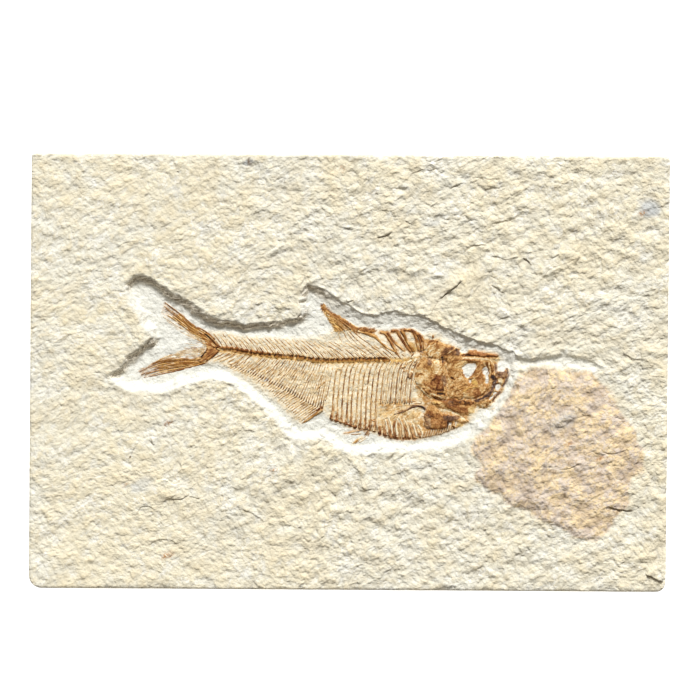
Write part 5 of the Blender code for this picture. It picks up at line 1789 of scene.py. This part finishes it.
def tailRods(side):
    rods = []
    seed = 8.0 if side == "upper" else 9.0
    for i, (points, share, weak) in enumerate(tailStrokes(side)):
        if weak:
            tone = 0.32 - 0.12 * share + 0.12 * vary(i, seed)
            tint = {"ochre": 0.5 * (side == "lower"), "red": 0.2}
            rods.append(rod(points, 0.08 - 0.03 * share, tone + 0.06, tipTone=tone - 0.10, tint=tint,
                            reach=0.74 + 0.36 * vary(i, seed + 0.4), lift=0.06, broken=0.35))
        else:
            tone = tail["strongTones"][i % len(tail["strongTones"])]
            tint = {"ochre": 1.0} if tone < 0.5 else {"red": 0.35, "ochre": 0.9}
            rods.append(rod(points, 0.12 + 0.05 * vary(i, seed + 0.8), tone, tipTone=0.6 * tone + 0.2,
                            tint=tint, reach=0.82 + 0.26 * vary(i * 1.9, seed + 0.4),
                            lift=0.12 + 0.05 * vary(i, seed + 2.0), broken=0.5))
    first, last = (np.array(line) for line in tail[side]["fan"])
    for i in range(tail["fanRays"]):
        points = first + (last - first) * i / (tail["fanRays"] - 1)
        rods.append(rod(points, 0.055, 0.36 + 0.12 * vary(i, seed + 3.0),
                        reach=0.8 + 0.3 * vary(i, seed + 4.0), lift=0.04, broken=0.3))
    return rods


def dorsalRods():
    rods = []
    tips = smoothLine(dorsalFin["tip"], 4)
    start, end = np.array(dorsalFin["base"])
    for i in range(dorsalFin["rays"]):
        share = i / (dorsalFin["rays"] - 1)
        tip = tips[round(share * (len(tips) - 1))]
        root = start + (end - start) * share
        middle = root + (tip - root) * 0.5 + (0.15, 0.2)
        tone = dorsalFin["rayTones"][i % 4] + 0.1 * share
        rods.append(rod((root, middle, tip), 0.09, tone + 0.10, tipTone=tone, tint={"ochre": 0.8 * share},
                        reach=0.92 + 0.2 * vary(i, 16.0), lift=0.19, broken=0.4))
    for points, radius, tone in dorsalFin["props"]:
        rods.append(rod(points, radius, tone, taper=0.4, tipTone=0.40, tint={"ochre": 0.35}, lift=0.06,
                        broken=0.15))
    return rods


def predorsalRods(i):
    # the hooked bone, a thin darker line painted as shade along its lower left side, away from the sun, and
    # its thicker head
    points = predorsal[i]
    (x, y), (nextX, nextY) = points[:2]
    head = ((x - 0.2, y + 0.1), (x + 0.6 * (nextX - x), y + 0.6 * (nextY - y)))
    tone = 0.60 + 0.10 * vary(i, 13.0)
    look = {"taper": 0.8, "tint": {"ochre": 0.35} if i == 3 else reddish}
    return [
        rod(points, 0.38, tone, tipTone=tone - 0.10, lift=0.0, flat=0.45, **look),
        rod(shifted(points, -0.26, -0.12), 0.08, tone + 0.08, lift=0.06, broken=0.3, **look),
        rod(head, 0.40, tone + 0.10, lift=0.04, flat=0.5, **look),
    ]


def pectoralRods():
    spine = rod(pectoralFin["spine"], 0.06, 0.70, taper=3.0, tipTone=1.0, tint=plumGrey, lift=0.14)
    rays = [rod(points, 0.08, 0.40, taper=0.7, tint={"red": 0.2}, lift=0.06, broken=0.4)
            for points in pectoralFin["rays"]]
    return [spine, *rays]


def pelvicRods():
    rods = [rod(points, 0.12, 0.30, tint={"red": 0.3}, broken=0.5) for points in pelvicFin["rays"]]
    for points, tone, tint in pelvicFin["streaks"]:
        rods.append(rod(points, 0.24, tone, tint=tint, lift=0.0, broken=0.3))
    return rods


headPlates = {
    # name: the solid it stands for, outline, thickness
    "crushedSkull": ("skull", (
        (18.7, 3.6), (18.6, 6.6), (19.4, 7.4), (20.2, 7.9), (21.0, 7.7), (22.6, 6.9), (25.2, 6.2),
        (26.4, 4.9), (28.2, 4.6), (28.8, 5.4), (32.2, 5.0), (35.5, 4.4), (35.4, 3.4), (34.4, 2.8),
        (34.6, 0.6), (35.5, -1.6), (34.6, -2.4), (33.6, -4.0), (32.0, -5.4), (30.0, -6.2), (27.0, -6.3),
        (23.9, -6.0), (23.6, -3.0), (23.4, 2.4), (20.6, 3.2),
    ), 0.30),
    "gillCover": ("gill_cover", (
        (16.4, 2.0), (18.2, 3.2), (20.4, 2.8), (23.0, 2.2), (23.1, -1.0), (23.5, -5.6), (22.8, -6.4),
        (20.6, -6.4), (18.6, -5.4), (16.6, -3.4), (15.6, -1.0),
    ), 0.34),
    "gillRays": ("gill_rays", (
        (19.8, -6.8), (23.0, -6.8), (24.4, -6.4), (27.4, -6.6), (29.9, -7.0), (29.8, -8.6),
        (29.2, -10.2), (27.0, -10.4), (24.4, -9.3), (22.2, -8.4), (20.0, -8.0),
    ), 0.26),
    "lowerJaw": ("lower_jaw", (
        (35.6, 0.2), (37.8, 0.9), (38.2, -0.4), (37.6, -2.4), (36.6, -4.2), (35.4, -5.6), (34.2, -7.2),
        (32.4, -8.6), (30.4, -7.9), (30.2, -6.8), (31.6, -6.0), (33.0, -5.4), (34.2, -3.9),
        (34.9, -2.4), (35.6, -1.4),
    ), 0.30),
    "shoulderGirdle": ("shoulder_girdle", (
        (18.4, -8.8), (20.6, -8.3), (21.8, -9.6), (24.0, -10.2), (26.4, -10.7), (28.6, -11.6),
        (27.0, -12.6), (25.2, -13.4), (23.6, -13.6), (20.6, -13.9), (18.4, -13.2), (17.8, -11.2),
    ), 0.28),
}


def dress(piece, finish, slotName, *nodes):
    piece.data.materials.clear()
    piece.data.materials.append(finish)
    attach(piece, "root")
    if nodes:
        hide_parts(*nodes)


def makeStage():
    bpy.ops.mesh.primitive_plane_add(size=4.0, location=(0, 0, 0))
    floor = bpy.context.object
    floor.name = "floor"
    finish = Finish("paleFloor")
    finish.shader.inputs["Emission Color"].default_value = (1, 1, 1, 1)
    finish.shader.inputs["Emission Strength"].default_value = 1.0
    floor.data.materials.append(finish.finished((0.8, 0.8, 0.8, 1), 0.9))

    bpy.ops.object.light_add(type="SUN")
    sun = bpy.context.object
    sun.data.energy = light["sunStrength"]
    sun.data.angle = math.radians(light["sunSoftness"])
    sun.rotation_euler = Vector(light["towardsSun"]).to_track_quat("Z", "Y").to_euler()
    world = bpy.data.worlds.new("sky")
    world.use_nodes = True
    world.node_tree.nodes["Background"].inputs["Color"].default_value = (*light["skyColour"], 1)
    world.node_tree.nodes["Background"].inputs["Strength"].default_value = light["skyStrength"]
    bpy.context.scene.world = world
    bpy.context.scene.view_settings.view_transform = "Standard"

    bpy.ops.object.camera_add(location=(
        camera["aim"][0] * mm, camera["aim"][1] * mm, (slab["thickness"] + camera["distance"]) * mm))
    eye = bpy.context.object
    eye.rotation_euler = (0, 0, 0)
    eye.data.lens = eye.data.sensor_width * camera["distance"] / camera["millimetresAcross"]
    eye.data.clip_start = 0.01
    eye.data.clip_end = 10
    bpy.context.scene.camera = eye


makeStage()
print("stage, light and camera are set")
stone = stoneFinish()
bone = boneFinish("darkBone", boneTones, 0.62)
dress(makeSlab(), stone, "limestone", "slab")
slabMesh = bpy.data.objects["limestoneSlab"].data
print("slab is made of", len(slabMesh.loops) - 2 * len(slabMesh.polygons), "triangles")
paleBone = boneFinish("lightBone", paleBoneTones, 0.70)
column = (makeRods("vertebrae", vertebraRods(), roundness=1), makeRods("tailBase", tailBaseRods()),
          makeRods("spines", spineRods()))
dress(joined("vertebralColumn", *column), bone, "dark_bone", "backbone")
dress(makeRods("ribsAndScutes", ribRods()), paleBone, "light_bone", "rib_cage")
dress(makeRods("analFin", analRods()), paleBone, "light_bone", "anal_fin")
for side in ("upper", "lower"):
    dress(makeRods(side + "TailLobe", tailRods(side)), bone, "dark_bone", "tail_fin_" + side)
blade = makeSheet("dorsalBlade", dorsalFin["blade"], thickness=0.12, crushed=0.45, ragged=0.7)
dress(joined("dorsalFin", blade, makeRods("dorsalRays", dorsalRods())), bone, "dark_bone", "dorsal_fin")
print("fins and backbone are made")
for i in range(len(predorsal)):
    dress(makeRods(f"predorsalBone{i + 1}", predorsalRods(i)), bone, "dark_bone", f"predorsal_bone_{i + 1}")
dress(makeRods("pectoralFin", pectoralRods()), paleBone, "light_bone", "pectoral_fin")
dress(makeRods("pelvicFin", pelvicRods()), paleBone, "light_bone", "pelvic_fin")
for name, (node, outline, thickness) in headPlates.items():
    dress(makeSheet(name, outline, thickness=thickness, holes=stoneInHead), bone, "dark_bone", node)
print("head is made")
